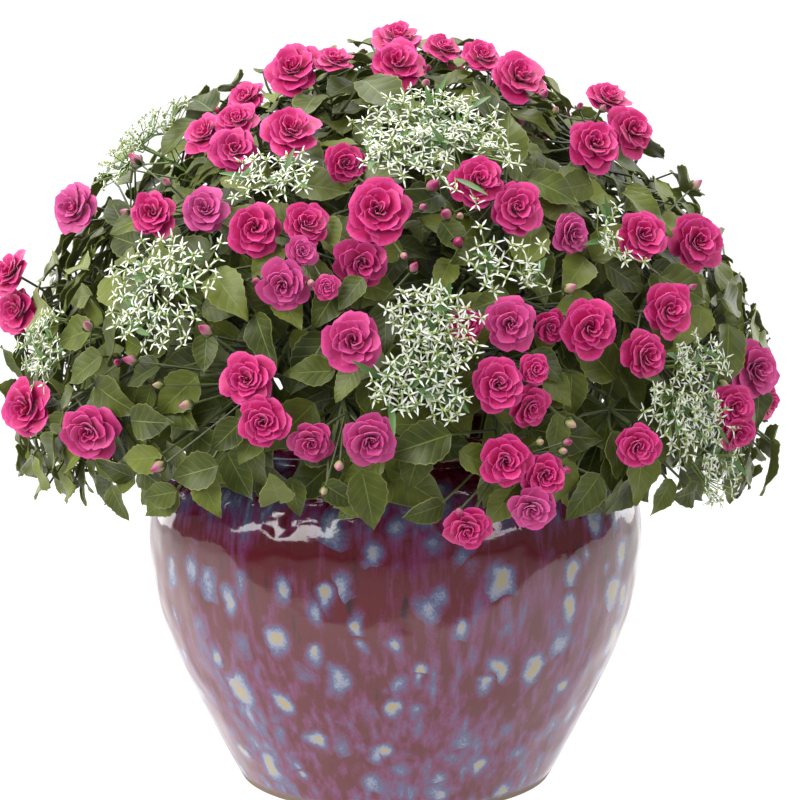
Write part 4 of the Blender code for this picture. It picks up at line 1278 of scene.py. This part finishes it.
@dataclass(frozen=True)
class GlowingPaper(Finish):
    """Pale paper that glows all over as painted light, though it is no lamp, but for its front end, which stays
    dim to paint a dark reflection on the upper part of the pot.
    """

    name: str = "glowing_paper"
    roughness: float = 0.9
    ior: float = 1.5
    paper: str = "8c8c8c"
    # Painted light: the glow of the paper at its back, and at its front end, which stays dim to paint a dark
    # reflection on the pot.
    glow: float = 0.93
    front_glow: float = 0.05
    glow_ends: Pair = (-0.49, -0.44)

    def paint(self, tree: Tree) -> dict[str, Any]:
        """Makes each part of the sheet glow, as painted light, by how far back it lies."""
        _, back, _ = add(tree, "SeparateXYZ", add(tree, "TexCoord").outputs["Object"]).outputs
        glow = add(tree, "MapRange", back, *self.glow_ends, self.front_glow, self.glow)
        return {"Base Color": linear(self.paper), "Emission Color": WHITE, "Emission Strength": glow}


class Mould:
    """A small mesh whose points know their places on it, so that a formula can shape each copy."""

    def __init__(self, bm: bmesh.types.BMesh) -> None:
        """Reads a bmesh and frees it."""
        bm.verts.index_update()
        self.places = np.array([vertex.co for vertex in bm.verts])
        self.faces = [tuple(vertex.index for vertex in face.verts) for face in bm.faces]
        bm.free()

    @classmethod
    def sheet(cls, across: int, along: int) -> Mould:
        """Makes a thin closed sheet."""
        bm = bmesh.new()
        bmesh.ops.create_grid(bm, x_segments=across, y_segments=along, size=1.0)
        bmesh.ops.solidify(bm, geom=bm.faces[:], thickness=1.0)
        made = cls(bm)
        low, high = made.places[:, 2].min(), made.places[:, 2].max()
        made.places[:, 1] = (made.places[:, 1] + 1.0) / 2
        made.places[:, 2] = (made.places[:, 2] - low) / (high - low)
        return made

    @classmethod
    def rod(cls, sides: int, rings: int) -> Mould:
        """Makes a closed round form."""
        bm = bmesh.new()
        bmesh.ops.create_uvsphere(bm, u_segments=sides, v_segments=rings, radius=1.0)
        made = cls(bm)
        x, y, z = made.places.T
        along = np.round(np.arccos(np.clip(z, -1.0, 1.0)) / math.pi * rings)
        ends = (along == 0) | (along == rings)
        made.places = np.stack((np.arctan2(y, x), along / rings, np.where(ends, 0.0, 1.0)), 1)
        return made


class Bundle:
    """The copies that make up one piece, each with a tint and a finish of its own."""

    def __init__(self, name: str, finishes: Sequence[bpy.types.Material]) -> None:
        """Starts an empty piece."""
        self.name = name
        self.finishes = finishes
        self.points: list[Points] = []
        self.faces: list[tuple[int, ...]] = []
        self.marks: list[Points] = []
        self.wears: list[int] = []
        self.count = 0

    def add(self, mould: Mould, points: Points, finish: int, tint: float = 0.5) -> None:
        """Adds a copy."""
        across, along, over = mould.places.T
        self.points.append(points)
        self.marks.append(np.stack(((across + 1.0) / 2, along, np.full(len(points), tint), 1.0 - over), 1))
        self.faces += [tuple(index + self.count for index in face) for face in mould.faces]
        self.wears += [finish] * len(mould.faces)
        self.count += len(points)

    def rod(self, mould: Mould, line: Any, radii: Pair, finish: int = 1) -> None:
        """Adds a round rod along a line.

        Args:
            mould: A rod mould.
            line: Points along it.
            radii: Its radius at its start and at its end.
            finish: Which of the piece's materials it wears.
        """
        line = np.asarray(line, float)
        turn, along, full = mould.places.T
        rings = 1.0 / np.min(along[along > 0])
        share = np.clip((along * rings - 1.0) / (rings - 2.0), 0.0, 1.0)
        steps = np.append(0.0, np.cumsum(np.linalg.norm(np.diff(line, axis=0), axis=1)))
        steps /= steps[-1]
        middle = np.stack([np.interp(share, steps, line[:, axis]) for axis in range(3)], 1)
        radius = (radii[0] + (radii[1] - radii[0]) * share) * full
        self.add(mould, middle + circles(unit(line[-1] - line[0]), turn) * radius[:, None], finish)

    def build(self, slot: Slot, replaced: str) -> bpy.types.Object:
        """Makes the piece's object.

        Args:
            slot: The record's slot, which it passes on to dressed.
            replaced: The node that it stands for.

        Returns:
            The object.
        """
        mesh = bpy.data.meshes.new(self.name)
        mesh.from_pydata(np.concatenate(self.points).tolist(), [], self.faces)
        marks = np.concatenate(self.marks)
        corners = np.empty(len(mesh.loops), np.int32)
        mesh.loops.foreach_get("vertex_index", corners)
        layer = mesh.uv_layers.new(name=UV_LAYER)
        layer.data.foreach_set("uv", marks[corners, :2].astype(np.float32).ravel())
        for column, name in ((2, TINT), (3, UNDER)):
            attribute = mesh.attributes.new(name, "FLOAT", "POINT")
            attribute.data.foreach_set("value", marks[:, column].astype(np.float32))
        mesh.polygons.foreach_set("material_index", np.array(self.wears, np.int32))
        for finish in self.finishes:
            mesh.materials.append(finish)
        bm = bmesh.new()
        bm.from_mesh(mesh)
        bmesh.ops.remove_doubles(bm, verts=bm.verts, dist=WELD)
        bmesh.ops.recalc_face_normals(bm, faces=bm.faces)
        bm.to_mesh(mesh)
        bm.free()
        return dressed(self.name, mesh, slot, replaced)


def dressed(name: str, mesh: bpy.types.Mesh, slot: Slot, replaced: str) -> bpy.types.Object:
    """Puts a finished mesh in the scene as a piece.

    Args:
        name: The piece's name.
        mesh: Its mesh, in place.
        slot: Not used.
        replaced: The node that it stands for.

    Returns:
        The object.
    """
    mesh.shade_smooth()
    mesh.set_sharp_from_angle(angle=SHARP)
    piece = placed(name, mesh)
    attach(piece, BODY)
    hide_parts(replaced)
    triangles = sum(len(face.vertices) - 2 for face in mesh.polygons)
    LOG.info("%s: %d triangles, stands for %s", name, triangles, replaced)
    return piece


def spun(profile: Iterable[Sequence[float]], sides: int) -> bmesh.types.BMesh:
    """Spins a profile of radii and heights all the way round the upright axis."""
    bm = bmesh.new()
    corners = [bm.verts.new((radius, 0.0, height)) for radius, height in profile]
    edges = [bm.edges.new(pair) for pair in zip(corners, corners[1:])]
    turn = {"axis": TOP, "cent": (0, 0, 0), "angle": math.tau, "steps": sides, "use_merge": True}
    bmesh.ops.spin(bm, geom=[*corners, *edges], **turn)
    bmesh.ops.remove_doubles(bm, verts=bm.verts, dist=WELD)
    bmesh.ops.recalc_face_normals(bm, faces=bm.faces)
    return bm


def meshed(name: str, bm: bmesh.types.BMesh, *finishes: bpy.types.Material) -> bpy.types.Mesh:
    """Turns a bmesh into a mesh that wears some finishes, and frees it."""
    mesh = bpy.data.meshes.new(name)
    bm.to_mesh(mesh)
    bm.free()
    for finish in finishes:
        mesh.materials.append(finish)
    return mesh


@dataclass
class GlazedPot:
    """The pot: a lip, a short neck, a round belly and a narrow foot, thrown and dimpled."""

    shape: PotShape = field(default_factory=PotShape)
    sides: int = 144
    steps: int = 5
    dimple: float = 0.0007
    dimple_size: float = 0.034
    dimpled: Pair = (0.006, 0.262)
    inner_wall: tuple[tuple[float, ...], ...] = ((0.0, 0.1, 0.19, 0.27), (0.128, 0.176, 0.2, 0.162))
    base_thickness: float = 0.0140
    drain_radius: float = 0.0090
    drain_ring: float = 0.0600
    drains: int = 3
    drain_sides: int = 32

    def profile(self) -> Points:
        """Draws half the pot's section, from the middle of its floor over the lip to the middle of its base.

        Returns:
            Pairs of radius and height.
        """
        pot, floor = self.shape, self.base_thickness
        inside = (
            (pot.foot_radius - pot.wall, floor + 0.004),
            (0.1690 - pot.wall, 0.0800),
            (0.1970 - pot.wall, 0.1300),
            (pot.belly_radius - pot.wall, 0.1930),
            (0.1820, 0.2400),
            (pot.neck_radius - pot.wall, 0.2620),
            (0.1570, 0.2880),
            (0.1592, 0.2922),
            (0.1640, pot.lip_top),
            (0.1690, 0.2926),
            (pot.lip_radius, 0.2880),
            (0.1712, 0.2838),
            (0.1682, 0.2800),
            (pot.neck_radius, 0.2755),
            (0.1695, 0.2705),
            (0.1800, 0.2645),
            (0.1962, 0.2538),
            (0.2058, 0.2290),
            (pot.belly_radius, 0.1950),
            (0.1995, 0.1430),
            (0.1832, 0.0990),
            (0.1613, 0.0550),
            (0.1400, 0.0140),
            (0.1345, 0.0040),
        )
        line = smooth_line(inside, self.steps)
        return np.vstack(((0.0, floor), (0.1080, floor), line, (pot.foot_radius - 0.001, 0.0), (0.0, 0.0)))

    def build(self, glaze: bpy.types.Material) -> bpy.types.Object:
        """Turns the pot, dimples its wall and drills its drain holes.

        Args:
            glaze: Its finish.

        Returns:
            The pot's object.
        """
        bm = spun(self.profile(), self.sides)
        low, high = self.dimpled
        for vertex in bm.verts:
            flat, place = Vector((vertex.co.x, vertex.co.y, 0.0)), vertex.co / self.dimple_size
            if flat.length > np.interp(vertex.co.z, *self.inner_wall) and low < vertex.co.z < high:
                wave = noise.noise(place) + 0.5 * noise.noise(place * 2.3)
                vertex.co -= flat.normalized() * abs(wave) * self.dimple
        pot = placed("pot_blank", meshed("glazed_pot", bm, glaze))
        drill, size, depth = bmesh.new(), self.drain_radius, self.base_thickness * 4
        hole = {"cap_ends": True, "segments": self.drain_sides, "radius1": size, "radius2": size}
        for index in range(self.drains):
            turn = math.tau * index / self.drains + math.pi / 2
            place = Vector((math.cos(turn), math.sin(turn), 0.0)) * self.drain_ring
            bmesh.ops.create_cone(drill, depth=depth, matrix=Matrix.Translation(place), **hole)
        cutter = placed("drill", meshed("drill", drill))
        cut = pot.modifiers.new("drain holes", "BOOLEAN")
        cut.operation, cut.object, cut.solver = "DIFFERENCE", cutter, "MANIFOLD"
        bpy.context.view_layer.update()
        finished = bpy.data.meshes.new_from_object(pot.evaluated_get(bpy.context.evaluated_depsgraph_get()))
        bpy.data.objects.remove(pot)
        bpy.data.objects.remove(cutter)
        return dressed("glazed_pot", finished, Slot.GLAZE, "pot")


@dataclass
class PottingSoil:
    """The soil: a crumbly disc that fills the pot to a little below its lip."""

    radius: float = 0.1545
    top: float = 0.2640
    under: Profile = ((0.17, 0.244), (0.1955, 0.193), (0.185, 0.13), (0.121, 0.0145), (0.0, 0.0145))
    rings: int = 44
    sides: int = 120
    lumps: float = 0.0035
    crumbs: float = 90.0

    def build(self, peat: bpy.types.Material) -> bpy.types.Object:
        """Turns the soil and roughens its top.

        Args:
            peat: Its finish.

        Returns:
            The soil's object.
        """
        line = [(self.radius * share, self.top) for share in np.linspace(0.0, 1.0, self.rings)]
        bm = spun([*line, *self.under], self.sides)
        for vertex in bm.verts:
            if vertex.co.z > self.top - 1e-4:
                vertex.co.z -= self.lumps * abs(noise.fractal(vertex.co * self.crumbs, 1.0, 2.0, 4))
        return dressed("potting_soil", meshed("potting_soil", bm, peat), Slot.SOIL, "soil")


class Whorl(NamedTuple):
    """One layer of a flower's petals: how many, their reach, their rise, their width and their ruffle."""

    petals: int
    reach: float
    foot_rise: float
    tip_rise: float
    half_turn: float
    ruffle: float


@dataclass
class FlowerHead:
    """A head of double flowers on thin stalks, with its buds."""

    growth: Growth
    broad: Mould = field(default_factory=lambda: Mould.sheet(7, 4))
    middle: Mould = field(default_factory=lambda: Mould.sheet(5, 4))
    small: Mould = field(default_factory=lambda: Mould.sheet(4, 4))
    stalk: Mould = field(default_factory=lambda: Mould.rod(6, 8))
    ball: Mould = field(default_factory=lambda: Mould.rod(10, 8))
    seed: int = 100
    thickness: float = 0.0005
    receptacle: float = -0.30
    sag: float = 0.004
    stalk_radii: Pair = (0.0009, 0.0011)
    bud_sag: float = 0.003
    bud_stalk_radii: Pair = (0.0007, 0.0007)
    bud_sizes: Pair = (0.8, 1.05)
    small_bud: float = 0.66
    whorls: tuple[Whorl, ...] = (
        Whorl(5, 1.07, 36, -12, 47, 0.065),
        Whorl(5, 0.98, 48, 6, 48, 0.055),
        Whorl(5, 0.92, 60, 24, 50, 0.040),
        Whorl(4, 0.82, 72, 46, 62, 0.035),
        Whorl(4, 0.74, 80, 68, 62, 0.035),
        Whorl(3, 0.64, 86, 90, 72, 0.040),
    )

    def petal(self, mould: Mould, bloom: Bloom, whorl: Whorl, turn: float, draw: Draw) -> Points:
        """Shapes one petal.

        Args:
            mould: The sheet that it is shaped from.
            bloom: Its flower.
            whorl: Its layer.
            turn: Where it stands round the flower.
            draw: The flower's own draws.

        Returns:
            Where the mould's points go.
        """
        across, along, over = mould.places.T
        phase, second, swell = draw.uniform(0.0, math.tau, 3)
        foot = math.radians(whorl.foot_rise)
        fall = math.radians(whorl.tip_rise + draw.uniform(-14, 14)) - foot
        reach = whorl.reach * draw.uniform(0.86, 1.08)
        notch = 0.05 * np.exp(-((across - draw.uniform(-0.2, 0.2)) / 0.25) ** 2)
        trimmed = along * (1.0 - 0.36 * np.abs(across) ** 2.4 - notch)
        angle = foot + fall * trimmed
        radius = 0.05 + reach * (np.sin(angle) - math.sin(foot)) / fall
        height = self.receptacle + reach * (math.cos(foot) - np.cos(angle)) / fall
        wave = whorl.ruffle * trimmed**2
        lift = wave * np.sin(across * 3.6 + phase) + 0.07 * across * along
        lift = lift + wave * 0.4 * np.sin(across * 7.0 + swell)
        push = wave * 0.8 * np.cos(across * 4.0 + second)
        thick = self.thickness / (bloom.width / 2) * (over - 0.5)
        radius = np.maximum(radius + push - np.sin(angle) * (thick + lift * 0.7), 0.01)
        height = height + np.cos(angle) * (thick + lift) + 0.3 * lift
        turns = turn + math.radians(whorl.half_turn) * across * (0.72 + 0.28 * along)
        out = circles(bloom.facing, turns) * radius[:, None]
        return bloom.middle + (out + bloom.facing * height[:, None]) * bloom.width / 2

    def flower(self, bundle: Bundle, bloom: Bloom, draw: Draw) -> None:
        """Adds a flower's petals, layer by layer."""
        start, age = draw.uniform(0.0, math.tau), draw.uniform(0.0, 1.0) ** 1.5
        for number, whorl in enumerate(self.whorls):
            mould = (self.broad, self.broad, self.middle, self.middle, self.middle, self.small)[number]
            for index in range(whorl.petals):
                turn = start + number * 0.55 + math.tau * (index + draw.uniform(-0.12, 0.12)) / whorl.petals
                points = self.petal(mould, bloom, whorl, turn, draw)
                bundle.add(mould, points, 0, min(1.0, age * 0.9 + draw.uniform(0.0, 0.1)))

    def bud(self, bundle: Bundle, middle: Points, facing: Points, size: float, tint: float) -> None:
        """Adds a bud, pointed at its end, with three folded sepals at its foot.

        Args:
            bundle: The piece that it is part of.
            middle: The bud's middle.
            facing: The way it points.
            size: Its length.
            tint: Its own shade.
        """
        turn, along, _ = self.ball.places.T
        swirl = 1.0 + 0.05 * np.sin(3 * turn + along * 5)
        radius = size * 0.29 * np.sin(np.pi * (1 - along)) ** 0.8 * (0.68 + 0.56 * along) * swirl
        height = (0.5 - along) * size
        points = middle + circles(facing, turn) * radius[:, None] + facing * height[:, None]
        bundle.add(self.ball, points, 2, tint)
        across, length, thick = self.small.places.T
        for index in range(3):
            spot = math.tau * index / 3 + tint * 6
            angle = spot + across * 0.75 * (1 - length)
            out = size * (0.06 + 0.34 * np.sin(np.pi * 0.62 * length)) + thick * 0.0004
            rise = size * (-0.52 + 0.55 * length)
            points = middle + circles(facing, angle) * out[:, None] + facing * rise[:, None]
            bundle.add(self.small, points, 1, tint)

    def build(self, head: int, finishes: Sequence[bpy.types.Material]) -> bpy.types.Object:
        """Builds a head.

        Args:
            head: Which head.
            finishes: The petals', the stalks' and the buds' materials.

        Returns:
            The head's object.
        """
        growth, draw = self.growth, np.random.default_rng(self.seed + head)
        bundle = Bundle(f"blooms_{head + 1:02}", finishes)
        foot, top = growth.neck(head)
        bundle.rod(self.stalk, (foot, top), (growth.neck_radius, growth.neck_radius * 0.9))
        for number, bloom in enumerate(growth.heads[head]):
            start = growth.parting(head, number)
            end = growth.pedicel_tip(bloom, start)
            behind = bloom.middle + bloom.facing * self.receptacle * bloom.width / 2
            knots = (start, (start + behind) / 2 - bloom.facing * self.sag, behind, (behind + end) / 2)
            bundle.rod(self.stalk, smooth_line(knots, 4), self.stalk_radii)
            self.flower(bundle, bloom, draw)
        full, small = growth.bud_length, growth.bud_length * self.small_bud
        own = [(*bud, full * draw.uniform(*self.bud_sizes)) for bud in growth.buds[head]]
        own += [(middle, facing, small) for where, middle, facing in growth.small if where == head]
        for number, (middle, facing, size) in enumerate(own):
            start = growth.parting(head, len(growth.heads[head]) + number)
            end = middle - facing * size * 0.45
            line = smooth_line((start, (start + end) / 2 - facing * self.bud_sag, end), 4)
            bundle.rod(self.stalk, line, self.bud_stalk_radii)
            self.bud(bundle, middle, facing, size, draw.uniform(0.0, 1.0))
        return bundle.build(Slot.PETALS, f"flower_head_{head + 1:02}")


@dataclass
class LeafyStem:
    """A forked stem of the busy lizzie with its leaves."""

    growth: Growth
    fine: Mould = field(default_factory=lambda: Mould.sheet(4, 16))
    plain: Mould = field(default_factory=lambda: Mould.sheet(2, 14))
    rough: Mould = field(default_factory=lambda: Mould.sheet(2, 6))
    stem: Mould = field(default_factory=lambda: Mould.rod(10, 14))
    petiole: Mould = field(default_factory=lambda: Mould.rod(4, 5))
    seed: int = 500
    blade_thickness: float = 0.0006
    tooth: float = 0.04
    drip_tip: float = 0.62
    wave: float = 0.035
    folds: Pair = (0.6, 1.1)
    petiole_radii: Pair = (0.0012, 0.0009)
    stem_depth: float = 0.0400

    def blade(self, mould: Mould, leaf: Leaf, rows: int, draw: Draw) -> Points:
        """Shapes a leaf's blade: folded at its midrib, toothed and gently waved.

        Args:
            mould: The sheet that it is shaped from.
            leaf: The leaf.
            rows: The sheet's faces along.
            draw: The leaf's own draws.

        Returns:
            Where the mould's points go.
        """
        across, along, over = mould.places.T
        growth = self.growth
        tooth = 1.0 + self.tooth * np.where(np.abs(across) > 0.9, np.cos(np.pi * along * rows), 0.0)
        widest = leaf.length * growth.leaf_proportion / 2
        half = widest * growth.blade_width(along) * across * tooth * (1.0 - self.drip_tip * along**3)
        phase, fold = draw.uniform(0.0, math.tau), draw.uniform(*self.folds)
        wave = self.wave * leaf.length * np.sin(along * 11.0 + phase + 1.4 * np.sign(across)) * across**2
        lift = np.abs(half) * growth.leaf_fold * fold - leaf.curl * leaf.length * along**2 + wave
        lift = lift + self.blade_thickness * (over - 0.5)
        ways = (along * leaf.length)[:, None], half[:, None], lift[:, None]
        return leaf.base + leaf.axis * ways[0] + leaf.side * ways[1] + leaf.normal * ways[2]

    def build(self, stem: int, finishes: Sequence[bpy.types.Material]) -> bpy.types.Object:
        """Builds a stem.

        Args:
            stem: Which stem.
            finishes: The leaves' and the stems' materials.

        Returns:
            The stem's object.
        """
        growth, draw = self.growth, np.random.default_rng(self.seed + stem)
        bundle = Bundle(f"leafy_stem_of_leaves_{stem + 1:02}", finishes)
        way = growth.stem_way(stem)
        way = np.vstack((way[0] - (0.0, 0.0, self.stem_depth), way))
        bundle.rod(self.stem, way, (growth.stem_radius, growth.stem_radius * 0.75))
        for tip, parent in enumerate(growth.parents):
            if parent == stem:
                line = growth.branch_way(tip)
                bundle.rod(self.stem, line, (growth.branch_radius, growth.branch_radius * 0.7))
        near = ((leaf, self.fine, 16) for leaf in growth.leaves)
        between = ((leaf, self.plain, 14) for leaf in growth.extra_leaves)
        inside = ((leaf, self.rough, 6) for leaf in growth.inner_leaves)
        for leaf, mould, rows in (*near, *between, *inside):
            if leaf.stem != stem:
                continue
            tint = draw.uniform(0.0, 1.0)
            bundle.add(mould, self.blade(mould, leaf, rows, draw), 0, tint)
            middle = (leaf.root + leaf.base) / 2 - leaf.normal * 0.002
            line = smooth_line((leaf.root, middle, leaf.base, leaf.base + leaf.axis * 0.003), 3)
            bundle.rod(self.petiole, line, self.petiole_radii)
        return bundle.build(Slot.LEAVES, f"leafy_stem_{stem + 1:02}")


@dataclass
class SpurgeSpray:
    """A spray of white spurge: a thin stalk, forked twigs, small white bracts and narrow leaves."""

    growth: Growth
    bract: Mould = field(default_factory=lambda: Mould.sheet(2, 2))
    blade: Mould = field(default_factory=lambda: Mould.sheet(2, 6))
    twig: Mould = field(default_factory=lambda: Mould.rod(4, 4))
    stalk: Mould = field(default_factory=lambda: Mould.rod(6, 12))
    ball: Mould = field(default_factory=lambda: Mould.rod(4, 3))
    bract_lengths: Pair = (0.0048, 0.0080)
    bract_half_width: float = 0.0008
    thickness: float = 0.0003
    seed: int = 900
    bract_peak: float = 0.66
    twig_radius: float = 0.00042
    fork_radii: Pair = (0.0008, 0.0006)
    floret_size: float = 0.0009
    leaf_peak: float = 0.45
    leaf_bend: float = 0.15
    leaf_lengths: Pair = (0.014, 0.026)
    leaf_half_width: float = 0.0023

    def strip(self, mould: Mould, foot: Points, axis: Points, size: Sequence[float], *form: float) -> Points:
        """Shapes a narrow blade by where it is widest and how much it bends."""
        across, along, over = mould.places.T
        peak, bend = form
        power = math.log(0.5) / math.log(peak)
        half = size[1] * np.sin(np.pi * np.clip(along * 0.94 + 0.03, 0, 1) ** power) ** 0.8 * across
        normal = self.growth.mound.outwards(foot)
        side = unit(np.cross(normal, axis))
        normal = np.cross(axis, side)
        lift = self.thickness * (over - 0.5) + np.abs(half) * 0.3 - bend * size[0] * along**2
        return foot + axis * (along * size[0])[:, None] + side * half[:, None] + normal * lift[:, None]

    def star(self, bundle: Bundle, star: Star, draw: Draw) -> None:
        """Adds a star: a twig, three to five bracts and a cluster of tiny green flowers.

        Args:
            bundle: The piece that it is part of.
            star: Its place.
            draw: The spray's own draws.
        """
        outward = self.growth.mound.outwards(star.end)
        sag = (star.foot + star.end) / 2 - outward * 0.003
        bundle.rod(self.twig, (star.foot, sag, star.end), (self.twig_radius * 1.3, self.twig_radius))
        count = int(draw.integers(3, 6))
        start = draw.uniform(0.0, math.tau)
        for index in range(count):
            turn = start + math.tau * (index + draw.uniform(-0.25, 0.25)) / count
            axis = unit(circle(outward, turn) + outward * draw.uniform(-0.1, 0.8))
            length = draw.uniform(*self.bract_lengths)
            size = (length, self.bract_half_width * draw.uniform(0.8, 1.25))
            points = self.strip(self.bract, star.end, axis, size, self.bract_peak, draw.uniform(0.0, 0.3))
            bundle.add(self.bract, points, 0, draw.uniform(0.0, 1.0))
        turn, along, _ = self.ball.places.T
        for index in range(int(draw.integers(2, 4))):
            middle = star.end + outward * 0.0008 + draw.normal(0.0, 0.0012, 3)
            wide = np.sin(np.pi * along)
            shape = np.stack((wide * np.cos(turn), wide * np.sin(turn), np.cos(np.pi * along)), 1)
            bundle.add(self.ball, middle + shape * self.floret_size, 2, draw.uniform(0.0, 1.0))

    def build(self, index: int, finishes: Sequence[bpy.types.Material]) -> bpy.types.Object:
        """Builds a spray.

        Args:
            index: Which spray.
            finishes: The bracts', the twigs' and the tiny flowers' materials.

        Returns:
            The spray's object.
        """
        growth, draw = self.growth, np.random.default_rng(self.seed + index)
        bundle = Bundle(f"spurge_{index + 1:02}", finishes)
        way = growth.stalk_way(growth.stalks[index])
        way = np.vstack((way[0] - (0.0, 0.0, 0.03), way))
        bundle.rod(self.stalk, way, (growth.stalk_radius, growth.stalk_radius * 0.7))
        top = way[-1]
        for twig in growth.twigs[index]:
            bundle.rod(self.twig, (twig.foot, twig.end), self.fork_radii)
            for _ in range(3):
                near = twig.end + draw.normal(0.0, 0.003, 3)
                self.star(bundle, Star(twig.foot + (twig.end - twig.foot) * 0.8, near), draw)
        for star in growth.stars[index]:
            bundle.rod(self.twig, (top, star.foot), self.fork_radii)
            self.star(bundle, star, draw)
        for star in growth.stars[index][::5]:
            outward = growth.mound.outwards(star.end)
            foot = star.foot + (star.end - star.foot) * draw.uniform(0.3, 0.8)
            axis = unit(circle(outward, draw.uniform(0.0, math.tau)) + outward * draw.uniform(0.0, 0.9))
            size = (draw.uniform(*self.leaf_lengths), self.leaf_half_width)
            points = self.strip(self.blade, foot, axis, size, self.leaf_peak, self.leaf_bend)
            bundle.add(self.blade, points, 3, draw.uniform(0.0, 1.0))
        return bundle.build(Slot.BRACTS, f"spurge_spray_{index + 1:02}")


class Lamp(NamedTuple):
    """A soft lamp: its place, its width and height, its power in watts and its spread in degrees."""

    name: str
    place: tuple[float, float, float]
    size: Pair
    power: float
    spread: float = 180.0


@dataclass
class Studio:
    """A pale sweep of floor and wall, which glows as painted light, with soft light from above and from both
    sides.
    """

    view: View
    width: float = 12.0
    front: float = -4.0
    back: float = 2.2
    bend: float = 1.2
    wall_height: float = 4.0
    aim: tuple[float, float, float] = (0.0, 0.0, 0.3)
    daylight: float = 0.25
    lamps: tuple[Lamp, ...] = (
        Lamp("key", (-1.68, -1.24, 1.42), (2.4, 1.8), 31.0, 100.0),
        Lamp("fill", (1.7, -1.5, 1.2), (1.2, 1.2), 6.0, 100.0),
        Lamp("left_side", (-1.50, 1.17, 1.0), (0.9, 1.8), 12.0),
        Lamp("right_side", (1.50, 1.17, 1.0), (0.9, 1.8), 10.0),
        Lamp("overhead", (0.0, 0.1, 2.3), (2.0, 2.0), 34.0, 120.0),
    )

    def sweep(self) -> bpy.types.Object:
        """Makes the floor and the wall behind it as one bent sheet.

        Returns:
            The sheet's object.
        """
        turns = np.linspace(0.0, math.pi / 2, 12)
        line = [(self.front, 0.0)]
        line += [(self.back + self.bend * math.sin(t), self.bend * (1 - math.cos(t))) for t in turns]
        line.append((self.back + self.bend, self.wall_height))
        bm = bmesh.new()
        corners = [bm.verts.new((-self.width / 2, y, z)) for y, z in line]
        edges = [bm.edges.new(pair) for pair in zip(corners, corners[1:])]
        drawn = bmesh.ops.extrude_edge_only(bm, edges=edges)
        moved = [item for item in drawn["geom"] if isinstance(item, bmesh.types.BMVert)]
        bmesh.ops.translate(bm, verts=moved, vec=(self.width, 0.0, 0.0))
        # The sheet glows as painted light, and its dim front end paints a dark reflection on the upper part of
        # the pot.
        sheet = placed("sweep", meshed("sweep", bm, GlowingPaper().material()))
        sheet.data.shade_smooth()
        return sheet

    def hang(self, lamp: Lamp) -> None:
        """Hangs a soft lamp that faces the plant."""
        light = bpy.data.lights.new(lamp.name, "AREA")
        light.shape, light.energy, light.spread = "RECTANGLE", lamp.power, math.radians(lamp.spread)
        light.size, light.size_y = lamp.size
        hung = placed(lamp.name, light)
        hung.location = lamp.place
        hung.rotation_euler = (Vector(self.aim) - Vector(lamp.place)).to_track_quat("-Z", "Y").to_euler()

    def build(self) -> None:
        """Sets the floor, the lamps, the world and the camera."""
        self.sweep()
        for lamp in self.lamps:
            self.hang(lamp)
        world = bpy.data.worlds.new("studio")
        world.use_nodes = True
        sky = world.node_tree.nodes["Background"]
        sky.inputs["Color"].default_value = WHITE
        sky.inputs["Strength"].default_value = self.daylight
        scene = bpy.context.scene
        scene.world = world
        scene.view_settings.view_transform = "Standard"
        scene.camera = self.view.camera()


# Each plant skin's name, its roughness, how far its tint shifts it, and its colours from foot to tip.
PLANT_SKINS: tuple[tuple[str, float, float, Stops], ...] = (
    ("stem", 0.45, 0.0, ((0.0, "323c1a"), (1.0, "4a5426"))),
    ("bud", 0.45, 0.9, ((0.0, "8e1a52"), (0.3, "a8607c"), (0.6, "a08a6c"), (1.0, "7a8248"))),
    ("bract", 0.6, 0.0, ((0.0, "93a868"), (0.35, "d4d8c8"), (1.0, "e2e4dc"))),
    ("twig", 0.5, 0.0, ((0.0, "6e8644"), (1.0, "879c58"))),
    ("floret", 0.5, 0.0, ((0.0, "a3b268"), (1.0, "8fa252"))),
    ("narrow_leaf", 0.45, 0.0, ((0.0, "3f5f2b"), (1.0, "55763a"))),
)


def main() -> None:
    """Grows the plant, dresses each piece in order and lights it."""
    logging.basicConfig(level=logging.INFO, format="%(message)s")
    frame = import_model()
    LOG.info("%d nodes in the frame", len(frame["nodes"]))
    growth = Growth()
    LOG.info("%d leaves and %d more", len(growth.leaves), len(growth.extra_leaves))
    leaf_skin, petal_skin = LeafSkin().material(), PetalSkin().material()
    stem_skin, bud_skin, bract_skin, twig_skin, floret_skin, narrow_skin = (
        LengthwiseSkin(f"{name}_skin", roughness, stops=stops, tinted=tinted).material()
        for name, roughness, tinted, stops in PLANT_SKINS
    )
    GlazedPot().build(RunGlaze().material())
    PottingSoil().build(Peat().material())
    heads = FlowerHead(growth)
    for head in range(len(growth.heads)):
        heads.build(head, (petal_skin, stem_skin, bud_skin))
    sprays = SpurgeSpray(growth)
    for index in range(len(growth.sprays)):
        sprays.build(index, (bract_skin, twig_skin, floret_skin, narrow_skin))
    stems = LeafyStem(growth)
    for stem in range(growth.stem_count):
        stems.build(stem, (leaf_skin, stem_skin))
    Studio(growth.view).build()


if __name__ == "__main__":
    main()
